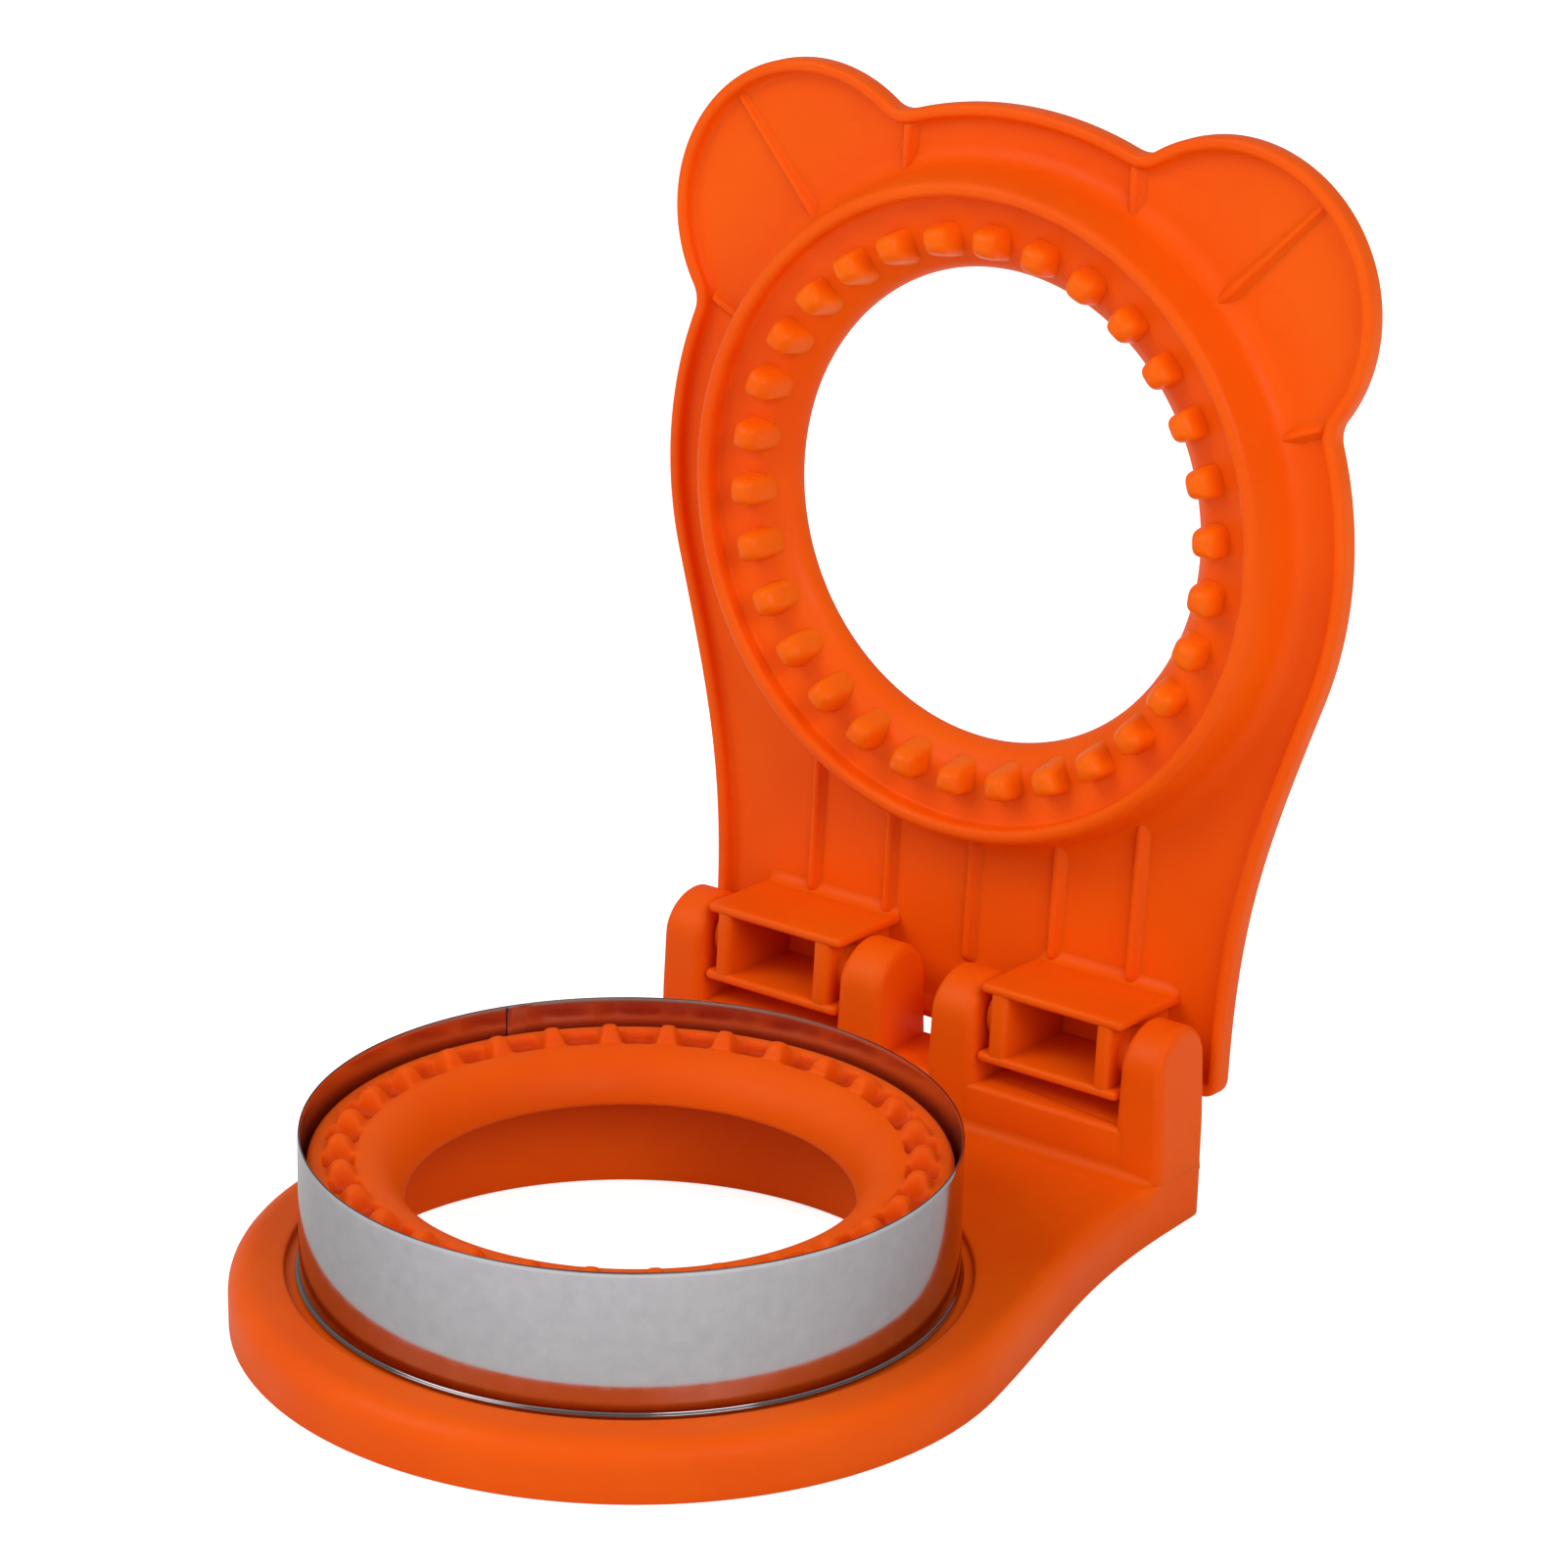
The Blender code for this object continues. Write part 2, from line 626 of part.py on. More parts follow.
def pressing_profile():
    """The block under the lid that the pressing ring is cut from, from the middle of its top down."""
    profile = [(0, RING_ROOT_Z), (RING_FOOT_RADIUS, RING_ROOT_Z)]
    profile += quarter((RING_FOOT_RADIUS, LID_FLOOR_Z + RING_FOOT_SINK), (RING_TOP_RADIUS, RING_FOOT_Z), True)
    profile += quarter((RING_RADIUS, RING_PEAK_Z + RING_ROUND), (RING_PEAK_RADII[1], RING_PEAK_Z), False)
    return profile + [(0, RING_PEAK_Z)]


def throat_profile():
    """The hole, the funnel, the pressing floor and the ring's inner wall, from the middle of its top down."""
    above = LID_TOP_Z + PROUD
    profile = [(0, above), (LID_HOLE_MOUTH_RADIUS, above)]
    profile += quarter((LID_HOLE_MOUTH_RADIUS, LID_TOP_Z), (LID_HOLE_RADIUS, LID_HOLE_Z), True)
    profile += quarter(profile[-1], (PRESS_FLOOR_INNER_RADIUS, PRESS_FLOOR_INNER_Z), False)[1:]
    profile.append((RING_INNER_RADIUS - PRESS_FLOOR_ROUND, PRESS_FLOOR_OUTER_Z))
    profile.append((RING_INNER_RADIUS, PRESS_FLOOR_OUTER_Z - PRESS_FLOOR_ROUND))
    profile += quarter((RING_INNER_RADIUS, RING_PEAK_Z + RING_ROUND), (RING_PEAK_RADII[0], RING_PEAK_Z), False)
    return profile + [(RING_PEAK_RADII[0], RING_PEAK_Z - PROUD), (0, RING_PEAK_Z - PROUD)]


def groove_profile():
    """The groove in the lid's outer face that keeps the pressing ring's wall even."""
    above = LID_TOP_Z + PROUD
    profile = [(GROOVE_OUTER_RADIUS, above), (GROOVE_OUTER_RADIUS, LID_TOP_Z)]
    profile.append((GROOVE_FOOT_RADIUS, GROOVE_FLOOR_Z))
    profile += quarter((GROOVE_BEND_RADIUS, GROOVE_FLOOR_Z), (GROOVE_INNER_RADIUS, GROOVE_BEND_Z), True)
    return profile + [(GROOVE_INNER_RADIUS, above)]


def knuckle_box(name, sign):
    """The tools that make one knuckle box: two plates, two side walls and two bosses round the pins."""
    low_x, high_x = sorted((sign * BOX_X[0], sign * BOX_X[1]))
    root = LID_FLOOR_Z + RIB_ROOT
    tools = []
    for face, near_y in (("front", BOX_FRONT_Y), ("back", BOX_BACK_Y - BOX_PLATE)):
        plate = block(
            name + "_" + face + "_plate", (low_x, near_y, BOX_MOUTH_Z), (high_x, near_y + BOX_PLATE, root),
        )
        round_edges(plate, BOX_ROUND, 2)
        tools.append(plate)
    for place, wall in zip(("inner", "outer"), BOX_WALLS_X):
        low, high = sorted((sign * wall[0], sign * wall[1]))
        tools.append(block(
            name + "_" + place + "_wall",
            (low, BOX_FRONT_Y + BOX_PLATE - BOX_PLATE_LAP, BOX_MOUTH_Z + BOX_WALL_INSET),
            (high, BOX_BACK_Y - BOX_PLATE + BOX_PLATE_LAP, root),
        ))
    inner_end = sign * (TOWERS_X[1][1] + BOX_BOSS_GAP)
    outer_end = sign * (TOWERS_X[0][0] - BOX_BOSS_GAP)
    inner_root = sign * (BOX_WALLS_X[0][0] + BOX_PLATE_LAP)
    outer_root = sign * (BOX_WALLS_X[1][1] - BOX_PLATE_LAP)
    tools.append(rod(name + "_inner_boss", BOX_BOSS_RADIUS, inner_end, inner_root))
    tools.append(rod(name + "_outer_boss", BOX_BOSS_RADIUS, outer_root, outer_end))
    return tools


def lid_ribs():
    """The low ribs: five back to the hinge, one at each ear's inner notch and two fanned into each ear."""
    low, high = LID_FLOOR_Z - RIB_DROP, LID_FLOOR_Z + RIB_ROOT
    ribs = []
    box_end = BOX_FRONT_Y + BOX_PLATE / 2
    for x, end_y in [(x, box_end) for x in BACK_RIBS_X] + [(0, MIDDLE_RIB_END_Y)]:
        start_y = math.sqrt(RIB_START_RADIUS**2 - x**2)
        ribs.append(block("back_rib", (x - RIB_WIDTH / 2, start_y, low), (x + RIB_WIDTH / 2, end_y, high)))
    for x in (-NOTCH_RIB_X, NOTCH_RIB_X):
        start_y = -math.sqrt(RIB_START_RADIUS**2 - x**2)
        low_corner = (x - RIB_WIDTH / 2, NOTCH_RIB_END_Y, low)
        ribs.append(block("notch_rib", low_corner, (x + RIB_WIDTH / 2, start_y, high)))
    for angle, end in FAN_RIBS:
        for sign in (-1, 1):
            ribs.append(spoke("ear_rib", sign * angle, RIB_START_RADIUS, end, RIB_WIDTH, low, high))
    return ribs


def bump_shapes():
    """The bumps, their roots sloped to stay inside the funnel's wall."""
    bumps = tapered_ring("bumps", [
        ((BUMP_TIP_Z, BUMP_TIP_Z), BUMP_TIP_RADII, BUMP_TIP_WIDTHS),
        (BUMP_ROOT_Z, BUMP_ROOT_RADII, BUMP_ROOT_WIDTHS),
    ])
    round_edges(bumps, BUMP_ROUND, 2)
    return bumps


def heel_wall():
    """The rim carried lower along the heel, where it meets the towers and stops the open lid."""
    half = LID_HALF_WIDTH - LID_HEEL_CORNER
    low = (-half, LID_HEEL_Y - LID_RIM_WALL + HEEL_WALL_INSET, HEEL_WALL_Z)
    return block("heel_wall", low, (half, LID_HEEL_Y - HEEL_WALL_INSET, HEEL_WALL_ROOT_Z))


def lid_shell():
    """The moulded lid: plate and rim, pressing ring, funnel, bumps, ribs and knuckle boxes."""
    lid = prism("lid_shell", lid_outline(0), LID_RIM_Z, LID_TOP_Z)
    round_level(lid, LID_TOP_Z, LID_EDGE_ROUND)
    combine(lid, prism("lid_tray", lid_outline(LID_RIM_WALL), LID_RIM_Z - PROUD, LID_FLOOR_Z), "DIFFERENCE")
    combine(lid, turned("pressing_block", pressing_profile()), "UNION")
    combine(lid, heel_wall(), "UNION")
    for rib in lid_ribs():
        combine(lid, rib, "UNION")
    for name, sign in (("left_box", -1), ("right_box", 1)):
        for tool in knuckle_box(name, sign):
            combine(lid, tool, "UNION")
    combine(lid, turned("throat", throat_profile()), "DIFFERENCE")
    combine(lid, bump_shapes(), "UNION")
    combine(lid, turned("outer_groove", groove_profile()), "DIFFERENCE")
    for name, _, _, face_x in tower_spans():
        tower_end, box_end = pin_reach(face_x)
        end = box_end + math.copysign(PIN_END_GAP, box_end - tower_end)
        combine(lid, rod("box_bore_" + name, PIN_RADIUS + PIN_CLEARANCE, face_x, end), "DIFFERENCE")
    return lid


# Materials, placing and the finished object


def material(name, colour, roughness, metallic):
    """A plain surface."""
    surface = bpy.data.materials.new(name)
    surface.use_nodes = True
    shader = surface.node_tree.nodes["Principled BSDF"]
    shader.inputs["Base Color"].default_value = (*colour, 1)
    shader.inputs["Roughness"].default_value = roughness
    shader.inputs["Metallic"].default_value = metallic
    return surface


def finish(piece, surface):
    """Sets a piece's mesh, surface and shading, and moves it among the pieces."""
    piece = to_mesh(piece)
    TOOLS.objects.unlink(piece)
    PIECES.objects.link(piece)
    piece.hide_render = False
    piece.display_type = "TEXTURED"
    piece.data.materials.append(surface)
    piece.data.shade_smooth()
    piece.data.set_sharp_from_angle(angle=math.radians(SHARP_DEG))
    return piece


def opened(y, z):
    """Where a point of the closed lid comes when the lid stands open."""
    turn = math.radians(OPEN_DEG)
    across, up = y - HINGE_Y, z - HINGE_Z
    return (
        HINGE_Y + across * math.cos(turn) + up * math.sin(turn),
        HINGE_Z - across * math.sin(turn) + up * math.cos(turn),
    )


def empty(name, parent, place):
    """A point that carries other objects."""
    point = bpy.data.objects.new(name, None)
    PIECES.objects.link(point)
    point.parent = parent
    point.location = place
    return point


def build():
    """Makes every piece, stands the lid open and centres the whole on its footprint."""
    orange = (0.84, 0.10, 0.012)
    steel = (0.55, 0.54, 0.52)
    base = finish(base_shell(), material("base_orange", orange, 0.38, 0))
    seal = finish(sealing_ring(), material("sealing_ring_orange", orange, 0.38, 0))
    cutter = finish(cutter_ring(), material("cutter_steel", steel, 0.28, 1))
    lid = finish(lid_shell(), material("lid_orange", orange, 0.34, 0))
    pin_steel = material("pin_steel", steel, 0.35, 1)
    pins = [finish(pin, pin_steel) for pin in hinge_pins()]

    back_y = opened(-EAR_Y - EAR_RADIUS + LID_EDGE_ROUND, LID_TOP_Z)[0]
    middle_y = (back_y - BASE_RADIUS) / 2
    stand = empty("stand", None, (0, -middle_y, 0))
    hinge = empty("lid_hinge", stand, (0, HINGE_Y, HINGE_Z))
    hinge.rotation_euler.x = -math.radians(OPEN_DEG)
    for piece in [base, seal, cutter] + pins:
        piece.parent = stand
    lid.parent = hinge
    lid.location = (0, -HINGE_Y, -HINGE_Z)
    bpy.context.view_layer.update()


build()
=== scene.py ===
# %% [markdown]
# # A sandwich cutter and sealer
#
# The real object is two orange mouldings joined by a hinge. The lower one holds a round steel cutter with a
# crimping ring inside it. The upper one is a lid with two ears and a ring of bumps that push the bread into
# the crimping ring's pockets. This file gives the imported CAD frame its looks: every surface is worked out
# again as a fine grid, with the soft corners and fillets that moulded plastic has.

# %% Start and load the frame
import json
import math

import bmesh
import bpy
import numpy as np
from mathutils import Matrix, Vector


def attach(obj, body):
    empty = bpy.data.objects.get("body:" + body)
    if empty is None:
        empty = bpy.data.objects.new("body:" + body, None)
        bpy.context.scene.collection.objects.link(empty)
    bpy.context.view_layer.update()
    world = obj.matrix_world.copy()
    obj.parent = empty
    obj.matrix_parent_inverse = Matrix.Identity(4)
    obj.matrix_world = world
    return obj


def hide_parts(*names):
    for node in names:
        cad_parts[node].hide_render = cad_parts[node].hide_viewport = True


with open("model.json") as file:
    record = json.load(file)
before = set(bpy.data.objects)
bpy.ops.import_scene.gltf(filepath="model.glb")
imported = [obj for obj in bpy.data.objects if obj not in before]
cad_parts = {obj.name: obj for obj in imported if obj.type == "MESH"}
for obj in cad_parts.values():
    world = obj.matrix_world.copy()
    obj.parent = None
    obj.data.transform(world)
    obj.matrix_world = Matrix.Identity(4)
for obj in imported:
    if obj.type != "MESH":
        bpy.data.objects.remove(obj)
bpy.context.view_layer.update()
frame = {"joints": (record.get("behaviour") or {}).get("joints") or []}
hinge = frame["joints"][0]["pos_m"]
print("the lid turns about y, z =", [round(1000 * value, 2) for value in hinge[1:]], "mm")

# %% [markdown]
# ## Where things are
#
# All the shapes are drawn in millimetres, round the cutter's own centre line, with the lid closed: the lid's
# ring and the base's ring are then plain circles about one axis. The lid's points are turned open afterwards,
# about the hinge. Drawing the lid where it stands would put a tilt into every number. Sizes that more than
# one part needs have their names here.

# %% Shared sizes, and how the lid is turned open
HINGE_Y, HINGE_Z, OPEN_DEG = 71.0, 24.7, 93.2
SHIFT_Y = 1000 * hinge[1] - HINGE_Y
DECK_Z, STEP_Z, TOWER_Z, TOWER_FRONT_Y, TOWER_BACK_Y = 8.4, 15.4, 30.4, 64.4, 76.7
STEEL_FOOT_Z, STEEL_TOP_Z, STEEL_RADIUS, STEEL_BORE = 7.7, 28.1, 45.0, 44.6
LID_RADIUS, LID_TOP_Z, LID_FLOOR_Z, BUMP_TIP_Z = 57.7, 36.1, 34.5, 24.8


def stand_open(points):
    """Each point's offset from the hinge is turned back by the opening angle, in the plane of Y and Z."""
    turn = math.radians(OPEN_DEG)
    across, up = points[..., 1] - HINGE_Y, points[..., 2] - HINGE_Z
    y = HINGE_Y + across * math.cos(turn) + up * math.sin(turn)
    z = HINGE_Z - across * math.sin(turn) + up * math.cos(turn)
    return np.stack([points[..., 0], y, z], -1)


tip = stand_open(np.array([0.0, -LID_RADIUS, LID_TOP_Z]))
print("the open lid's top edge stands", round(float(tip[2]), 1), "mm above the table")

# %% [markdown]
# ## From a grid to a mesh
#
# Every piece is a grid of points in two parameters. Joining each point to its neighbours gives four-sided
# faces. A grid that comes back to where it began is joined across its seam. Where a grid ends in a cap, its
# last row shrinks to one point. Curves and modifiers could build these too, but a grid can have its fine rows
# in the corners only.

# %% Make a mesh from grids
pieces, SIDES = {}, {"left": -1, "right": 1}


def grid_faces(count, rows, columns, wrap_rows, wrap_columns):
    """The corner numbers of each face: point (i, j) with (i, j + 1), (i + 1, j + 1) and (i + 1, j)."""
    i, j = np.indices((rows - (not wrap_rows), columns - (not wrap_columns)))
    after_i, after_j = (i + 1) % rows, (j + 1) % columns
    here, there = i * columns, after_i * columns
    one = np.stack([here + j, here + after_j, there + after_j, there + j], -1)
    starts = np.arange(count) * rows * columns
    return (one.reshape(1, -1, 4) + starts[:, None, None]).reshape(-1, 4)


def signed_volume(points, faces):
    """Six times the volume inside the faces, positive when they face outward."""
    a, b, c, d = (points[faces[:, k]] for k in range(4))
    return float(np.sum(np.einsum("ij,ij->i", a, np.cross(b, c) + np.cross(c, d))))


def new_object(name, data):
    """An object in the scene that shows the data."""
    thing = bpy.data.objects.new(name, data)
    bpy.context.scene.collection.objects.link(thing)
    return thing


def make_piece(name, grids, wrap_rows=True, wrap_columns=True, body="base"):
    """One mesh from one or more equal grids, in metres, facing outward and riding on its body.

    Points that merge where a grid ends in a cap are joined, and edges without two faces are counted.
    """
    grids = np.asarray(grids, float)
    if grids.ndim == 3:
        grids = grids[None]
    count, rows, columns, _ = grids.shape
    points = grids.reshape(-1, 3)
    faces = grid_faces(count, rows, columns, wrap_rows, wrap_columns)
    if signed_volume(points, faces) < 0:
        faces = faces[:, ::-1]
    if body == "lid":
        points = stand_open(points)
    points = (points + [0, SHIFT_Y, 0]) / 1000
    mesh = bpy.data.meshes.new(name)
    mesh.vertices.add(len(points))
    mesh.vertices.foreach_set("co", points.astype(np.float32).ravel())
    mesh.loops.add(faces.size)
    mesh.loops.foreach_set("vertex_index", faces.astype(np.int32).ravel())
    mesh.polygons.add(len(faces))
    mesh.polygons.foreach_set("loop_start", np.arange(0, faces.size, 4, dtype=np.int32))
    mesh.update(calc_edges=True)
    joined = bmesh.new()
    joined.from_mesh(mesh)
    bmesh.ops.remove_doubles(joined, verts=joined.verts, dist=2e-7)
    open_edges = sum(len(edge.link_faces) != 2 for edge in joined.edges)
    joined.to_mesh(mesh)
    joined.free()
    mesh.shade_smooth()
    piece = new_object(name, mesh)
    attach(piece, body)
    pieces[name] = piece
    print(f"{name}: {2 * len(faces)} triangles, {open_edges} open edges")
    return piece


def vertex_places(piece):
    """Where each vertex lies, in millimetres from the cutter's centre line."""
    places = np.empty(len(piece.data.vertices) * 3, np.float32)
    piece.data.vertices.foreach_get("co", places)
    return 1000 * places.reshape(-1, 3) - [0, SHIFT_Y, 0]


def store(piece, name, values):
    """Gives each vertex a value or a vector of its own, for a material to read."""
    kind, field = ("FLOAT", "value") if values.ndim == 1 else ("FLOAT_VECTOR", "vector")
    layer = piece.data.attributes.new(name, kind, "POINT")
    layer.data.foreach_set(field, values.astype(np.float32).ravel())


# %% [markdown]
# ## Rounded corners
#
# The thin highlight along each rounded corner is what makes plastic look like plastic. So a section is
# written as a few corner points, each with a radius, and every corner is replaced by an arc. The arc touches
# both sides, so its ends lie `radius * tan(half the turn)` from the corner.

# %% Round a section's corners
def smooth(value, start, end):
    """Nought before the start, one after the end, and 3 s^2 - 2 s^3 between."""
    share = np.clip((value - start) / (end - start), 0, 1)
    return share * share * (3 - 2 * share)


def rounded_section(corners, arc_steps=5, longest=4.0, closed=True):
    """Points along a path of (a, b, radius) corners, each corner replaced by an arc that touches both sides.

    Straight parts are divided into steps no longer than the longest.
    """
    corners = np.asarray(corners, float)
    points, radii = corners[:, :2], corners[:, 2]
    count = len(points)
    path = []
    for k in range(count):
        here = points[k]
        if not closed and k in (0, count - 1):
            path.append(here[None])
            continue
        before, after = points[k - 1], points[(k + 1) % count]
        back, on = before - here, after - here
        back_length, on_length = np.linalg.norm(back), np.linalg.norm(on)
        back, on = back / back_length, on / on_length
        turn = math.pi - math.acos(np.clip(back @ on, -1, 1))
        if radii[k] <= 0 or turn < 0.02:
            path.append(here[None])
            continue
        free_back, free_on = (0.98 if radii[j] == 0 else 0.49 for j in (k - 1, (k + 1) % count))
        reach = min(radii[k] * math.tan(turn / 2), free_back * back_length, free_on * on_length)
        radius = reach / math.tan(turn / 2)
        middle = here + (back + on) / np.linalg.norm(back + on) * radius / math.cos(turn / 2)
        start, end = here + back * reach - middle, here + on * reach - middle
        share = np.linspace(0, 1, arc_steps + 1)[:, None]
        arc = (np.sin((1 - share) * turn) * start + np.sin(share * turn) * end) / math.sin(turn)
        path.append(middle + arc)
    path = np.concatenate(path)
    following = np.roll(path, -1, axis=0) if closed else path[1:]
    gaps = np.linalg.norm(following - path[: len(following)], axis=1)
    parts = np.maximum(1, np.ceil(gaps / longest).astype(int))
    shares = np.concatenate([np.arange(n) / n for n in parts])
    index = np.repeat(np.arange(len(gaps)), parts)
    dense = path[index] * (1 - shares[:, None]) + following[index] * shares[:, None]
    return dense if closed else np.concatenate([dense, path[-1:]])


def lathe(section, steps=288):
    """Each (radius, height) point carried round a circle: x = radius * cos, y = radius * sin."""
    angle = np.linspace(0, math.tau, steps, endpoint=False)[:, None]
    radius, height = section[:, 0], section[:, 1]
    return np.stack([radius * np.cos(angle), radius * np.sin(angle), height + 0 * angle], -1)


demo = rounded_section([(0, 0, 1), (4, 0, 1), (4, 3, 1), (0, 3, 1)])
print("a 4 by 3 mm section with 1 mm corners takes", len(demo), "points")

# %% [markdown]
# ## The two outlines
#
# Seen from above, base and lid are both a circle that narrows to a neck at the hinge. The lid has two ears as
# well. Each outline is built from arcs, with an S-shaped flank from the circle to the neck: a cubic curve
# that leaves along the circle and arrives pointing straight back. A second outline a little further in has
# the same number of points, so the two can be joined row by row into a wall.

# %% Arcs and flanks
def arc(centre, radius, start, end, turn, steps):
    """Points at equal angles along an arc, without the last, which begins the next part."""
    sweep = turn * ((turn * (end - start)) % math.tau)
    angle = start + sweep * np.arange(steps) / steps
    return np.stack([centre[0] + radius * np.cos(angle), centre[1] + radius * np.sin(angle)], 1)


def flank(start, heading, end, steps):
    """A cubic from start along its heading to end, where it runs straight back. Both pulls are 1.2 chords."""
    start, end, heading = np.array(start), np.array(end), np.array(heading)
    pull = 1.2 * np.linalg.norm(end - start)
    s = np.arange(steps)[:, None] / steps
    path = start * (2 * s**3 - 3 * s**2 + 1) + heading * pull * (s**3 - 2 * s**2 + s)
    return path + end * (3 * s**2 - 2 * s**3) + np.array([0, pull]) * (s**3 - s**2)


def neck(radius, start_deg, half_width, neck_y, back_y, corner):
    """The right side from the circle back to the middle of the heel."""
    start = math.radians(start_deg)
    place = (radius * math.cos(start), radius * math.sin(start))
    straight = np.linspace(neck_y, back_y - corner, 5)[:-1]
    heel = np.linspace(half_width - corner, 0, 42)[:-1]
    return [
        flank(place, (-math.sin(start), math.cos(start)), (half_width, neck_y), 56),
        np.stack([0 * straight + half_width, straight], 1),
        arc((half_width - corner, back_y - corner), corner, 0, math.pi / 2, 1, 8),
        np.stack([heel, 0 * heel + back_y], 1),
    ]


def whole(side):
    """The right side, then its mirror image back to the start."""
    side = np.concatenate(side)
    back_middle = np.array([[0, side[-1, 1]]])
    return np.concatenate([side, back_middle, side[:0:-1] * [-1, 1]])


def base_outline(inset):
    """The base from above: its circle, flank, neck and heel, all drawn in by the inset."""
    start_deg, radius = 10.9, 54.6 - inset
    front = arc((0, 0), radius, -math.pi / 2, math.radians(start_deg), 1, 150)
    return whole([front] + neck(radius, start_deg, 44.2 - inset, 68.3, 77.2 - inset, max(2.2 - inset, 0.2)))


def lid_outline(inset):
    """The lid from above: head, fillet, ear, fillet and head, then the neck, all drawn in by the inset.

    A fillet's centre is where two circles cross, one about the head and one about the ear, each larger than
    the part it touches by the fillet's radius. The law of cosines gives the angle at which they cross.
    """
    start_deg, head, ear, fillet = 17.7, LID_RADIUS - inset, 23.4 - inset, 4.2 + inset
    middle = np.array([35.2, -35.7])
    reach, away = head + fillet, np.hypot(*middle)
    direction = math.atan2(middle[1], middle[0])
    spread = math.acos((reach**2 + away**2 - (ear + fillet) ** 2) / (2 * reach * away))
    first, second = direction - spread, direction + spread
    one, two = (reach * np.array([math.cos(a), math.sin(a)]) for a in (first, second))
    to_one, to_two = (math.atan2(*(middle - centre)[::-1]) for centre in (one, two))
    side = [
        arc((0, 0), head, -math.pi / 2, first, 1, 30),
        arc(one, fillet, first + math.pi, to_one, -1, 10),
        arc(middle, ear, to_one + math.pi, to_two + math.pi, 1, 96),
        arc(two, fillet, to_two, second + math.pi, -1, 10),
        arc((0, 0), head, second, math.radians(start_deg), 1, 44),
    ]
    return whole(side + neck(head, start_deg, 44.7 - inset, 72.3, 78.4 - inset, max(2.6 - inset, 0.2)))


print("base outline:", len(base_outline(0)), "points, lid outline:", len(lid_outline(0)), "points")

# %% [markdown]
# ## Plate with a round middle
#
# Both mouldings are plates whose outside follows the outline while their inside is turned. One grid can hold
# both: every row of the section knows how far it is drawn in from the outline, the radius of its circle, its
# height, and how much of each to take. On the flat floor between them the share runs from the outline to the
# circle, so the whole shell is one closed surface.

# %% Carry a section round a plate
def plate_grid(outline, section, spread=0):
    """Each row of (inset, radius, height, share) gives outline(inset) * (1 - share) + circle * share.

    Circles are divided in the directions of the outline drawn in by the spread, so that the floor's lines
    stay inside the notches.
    """
    directions = outline(spread)
    directions = directions / np.linalg.norm(directions, axis=1)[:, None]
    rows = []
    for inset, radius, height, share in section:
        flat = directions * radius * share
        if share < 1:
            flat = flat + outline(inset) * (1 - share)
        rows.append(np.column_stack([flat, np.full(len(flat), height)]))
    return np.stack(rows, 1)


def outside_rows(corners, **how):
    """Section rows that follow the outline, from corners of (inset, height, radius)."""
    return [(inset, 0, height, 0) for inset, height in rounded_section(corners, closed=False, **how)]


def inside_rows(corners, **how):
    """Section rows that follow circles, from corners of (radius, height, corner radius)."""
    return [(0, radius, height, 1) for radius, height in rounded_section(corners, closed=False, **how)]


def floor_rows(inset, radius, height, steps, inward=True):
    """Rows across a flat floor, from the outline to the circle or back."""
    shares = np.linspace(0, 1, steps + 2)[1:-1]
    return [(inset, radius, height, share) for share in (shares if inward else shares[::-1])]


# %% [markdown]
# ## The base
#
# The base is a shallow tray turned upside down: a rounded outer edge, a flat deck, a recess for the steel
# ring with a narrow ledge, and a bore through the middle. Underneath it's hollow, as mouldings are, so the
# section comes back up inside the outer wall. Booleans could cut it from a solid, but their edges are hard to
# round.

# %% Base shell
def base_section(edge):
    """The base's section, from inside its foot, over the deck and the ledge, and back underneath."""
    outer = [(2.2, 0.5, 0), (2.2, 0, 0.25), (0.05, 0, 0.4), (0, 4.0, 0), (0, DECK_Z, edge), (3.9, DECK_Z, 0)]
    ledge = [(48.0, DECK_Z, 0), (46.9, DECK_Z, 0.45), (46.9, 7.4, 0.2), (44.3, 7.4, 0.3), (44.3, 3.4, 0.3),
             (47.9, 3.4, 0.4), (47.9, 0, 0.3), (49.7, 0, 0.3), (49.7, 6.2, 0.4), (50.6, 6.2, 0)]
    return (
        outside_rows(outer, arc_steps=8, longest=9.0)
        + floor_rows(3.9, 48.0, DECK_Z, 7)
        + inside_rows(ledge, arc_steps=4)
        + floor_rows(3.0, 50.6, 6.2, 5, inward=False)
        + outside_rows([(3.0, 6.2, 0), (2.2, 6.2, 0.4), (2.2, 0.5, 0)], arc_steps=4)[:-1]
    )


# The deck's soft edge grows tight where it runs in under the towers, so that their sides stay flush.
soft_grid, tight_grid = (plate_grid(base_outline, base_section(edge)) for edge in (3.3, 0.3))
tight = smooth(base_outline(0)[:, 1], 61.0, 64.6)[:, None, None]
make_piece("base_tray", soft_grid * (1 - tight) + tight_grid * tight)

# %% [markdown]
# ## Rounded slabs
#
# Towers, box walls and pins are all slabs: a flat outline given a thickness, with every edge rounded. At each
# edge the outline is drawn in along its own normals by `r * (1 - sin)` and lifted by `r * (1 - cos)`, which
# makes a quarter circle. The faces are closed by shrinking the outline to its middle. A slab is drawn lying
# down, and turned upright by swapping its axes.

# %% Slabs
def outline_normals(path):
    """Outward normals of a closed path, from the direction between each point's two neighbours."""
    along = np.roll(path, -1, axis=0) - np.roll(path, 1, axis=0)
    along /= np.linalg.norm(along, axis=1)[:, None]
    normals = np.stack([along[:, 1], -along[:, 0]], 1)
    area = np.sum(path[:, 0] * np.roll(path[:, 1], -1) - np.roll(path[:, 0], -1) * path[:, 1])
    return normals if area > 0 else -normals


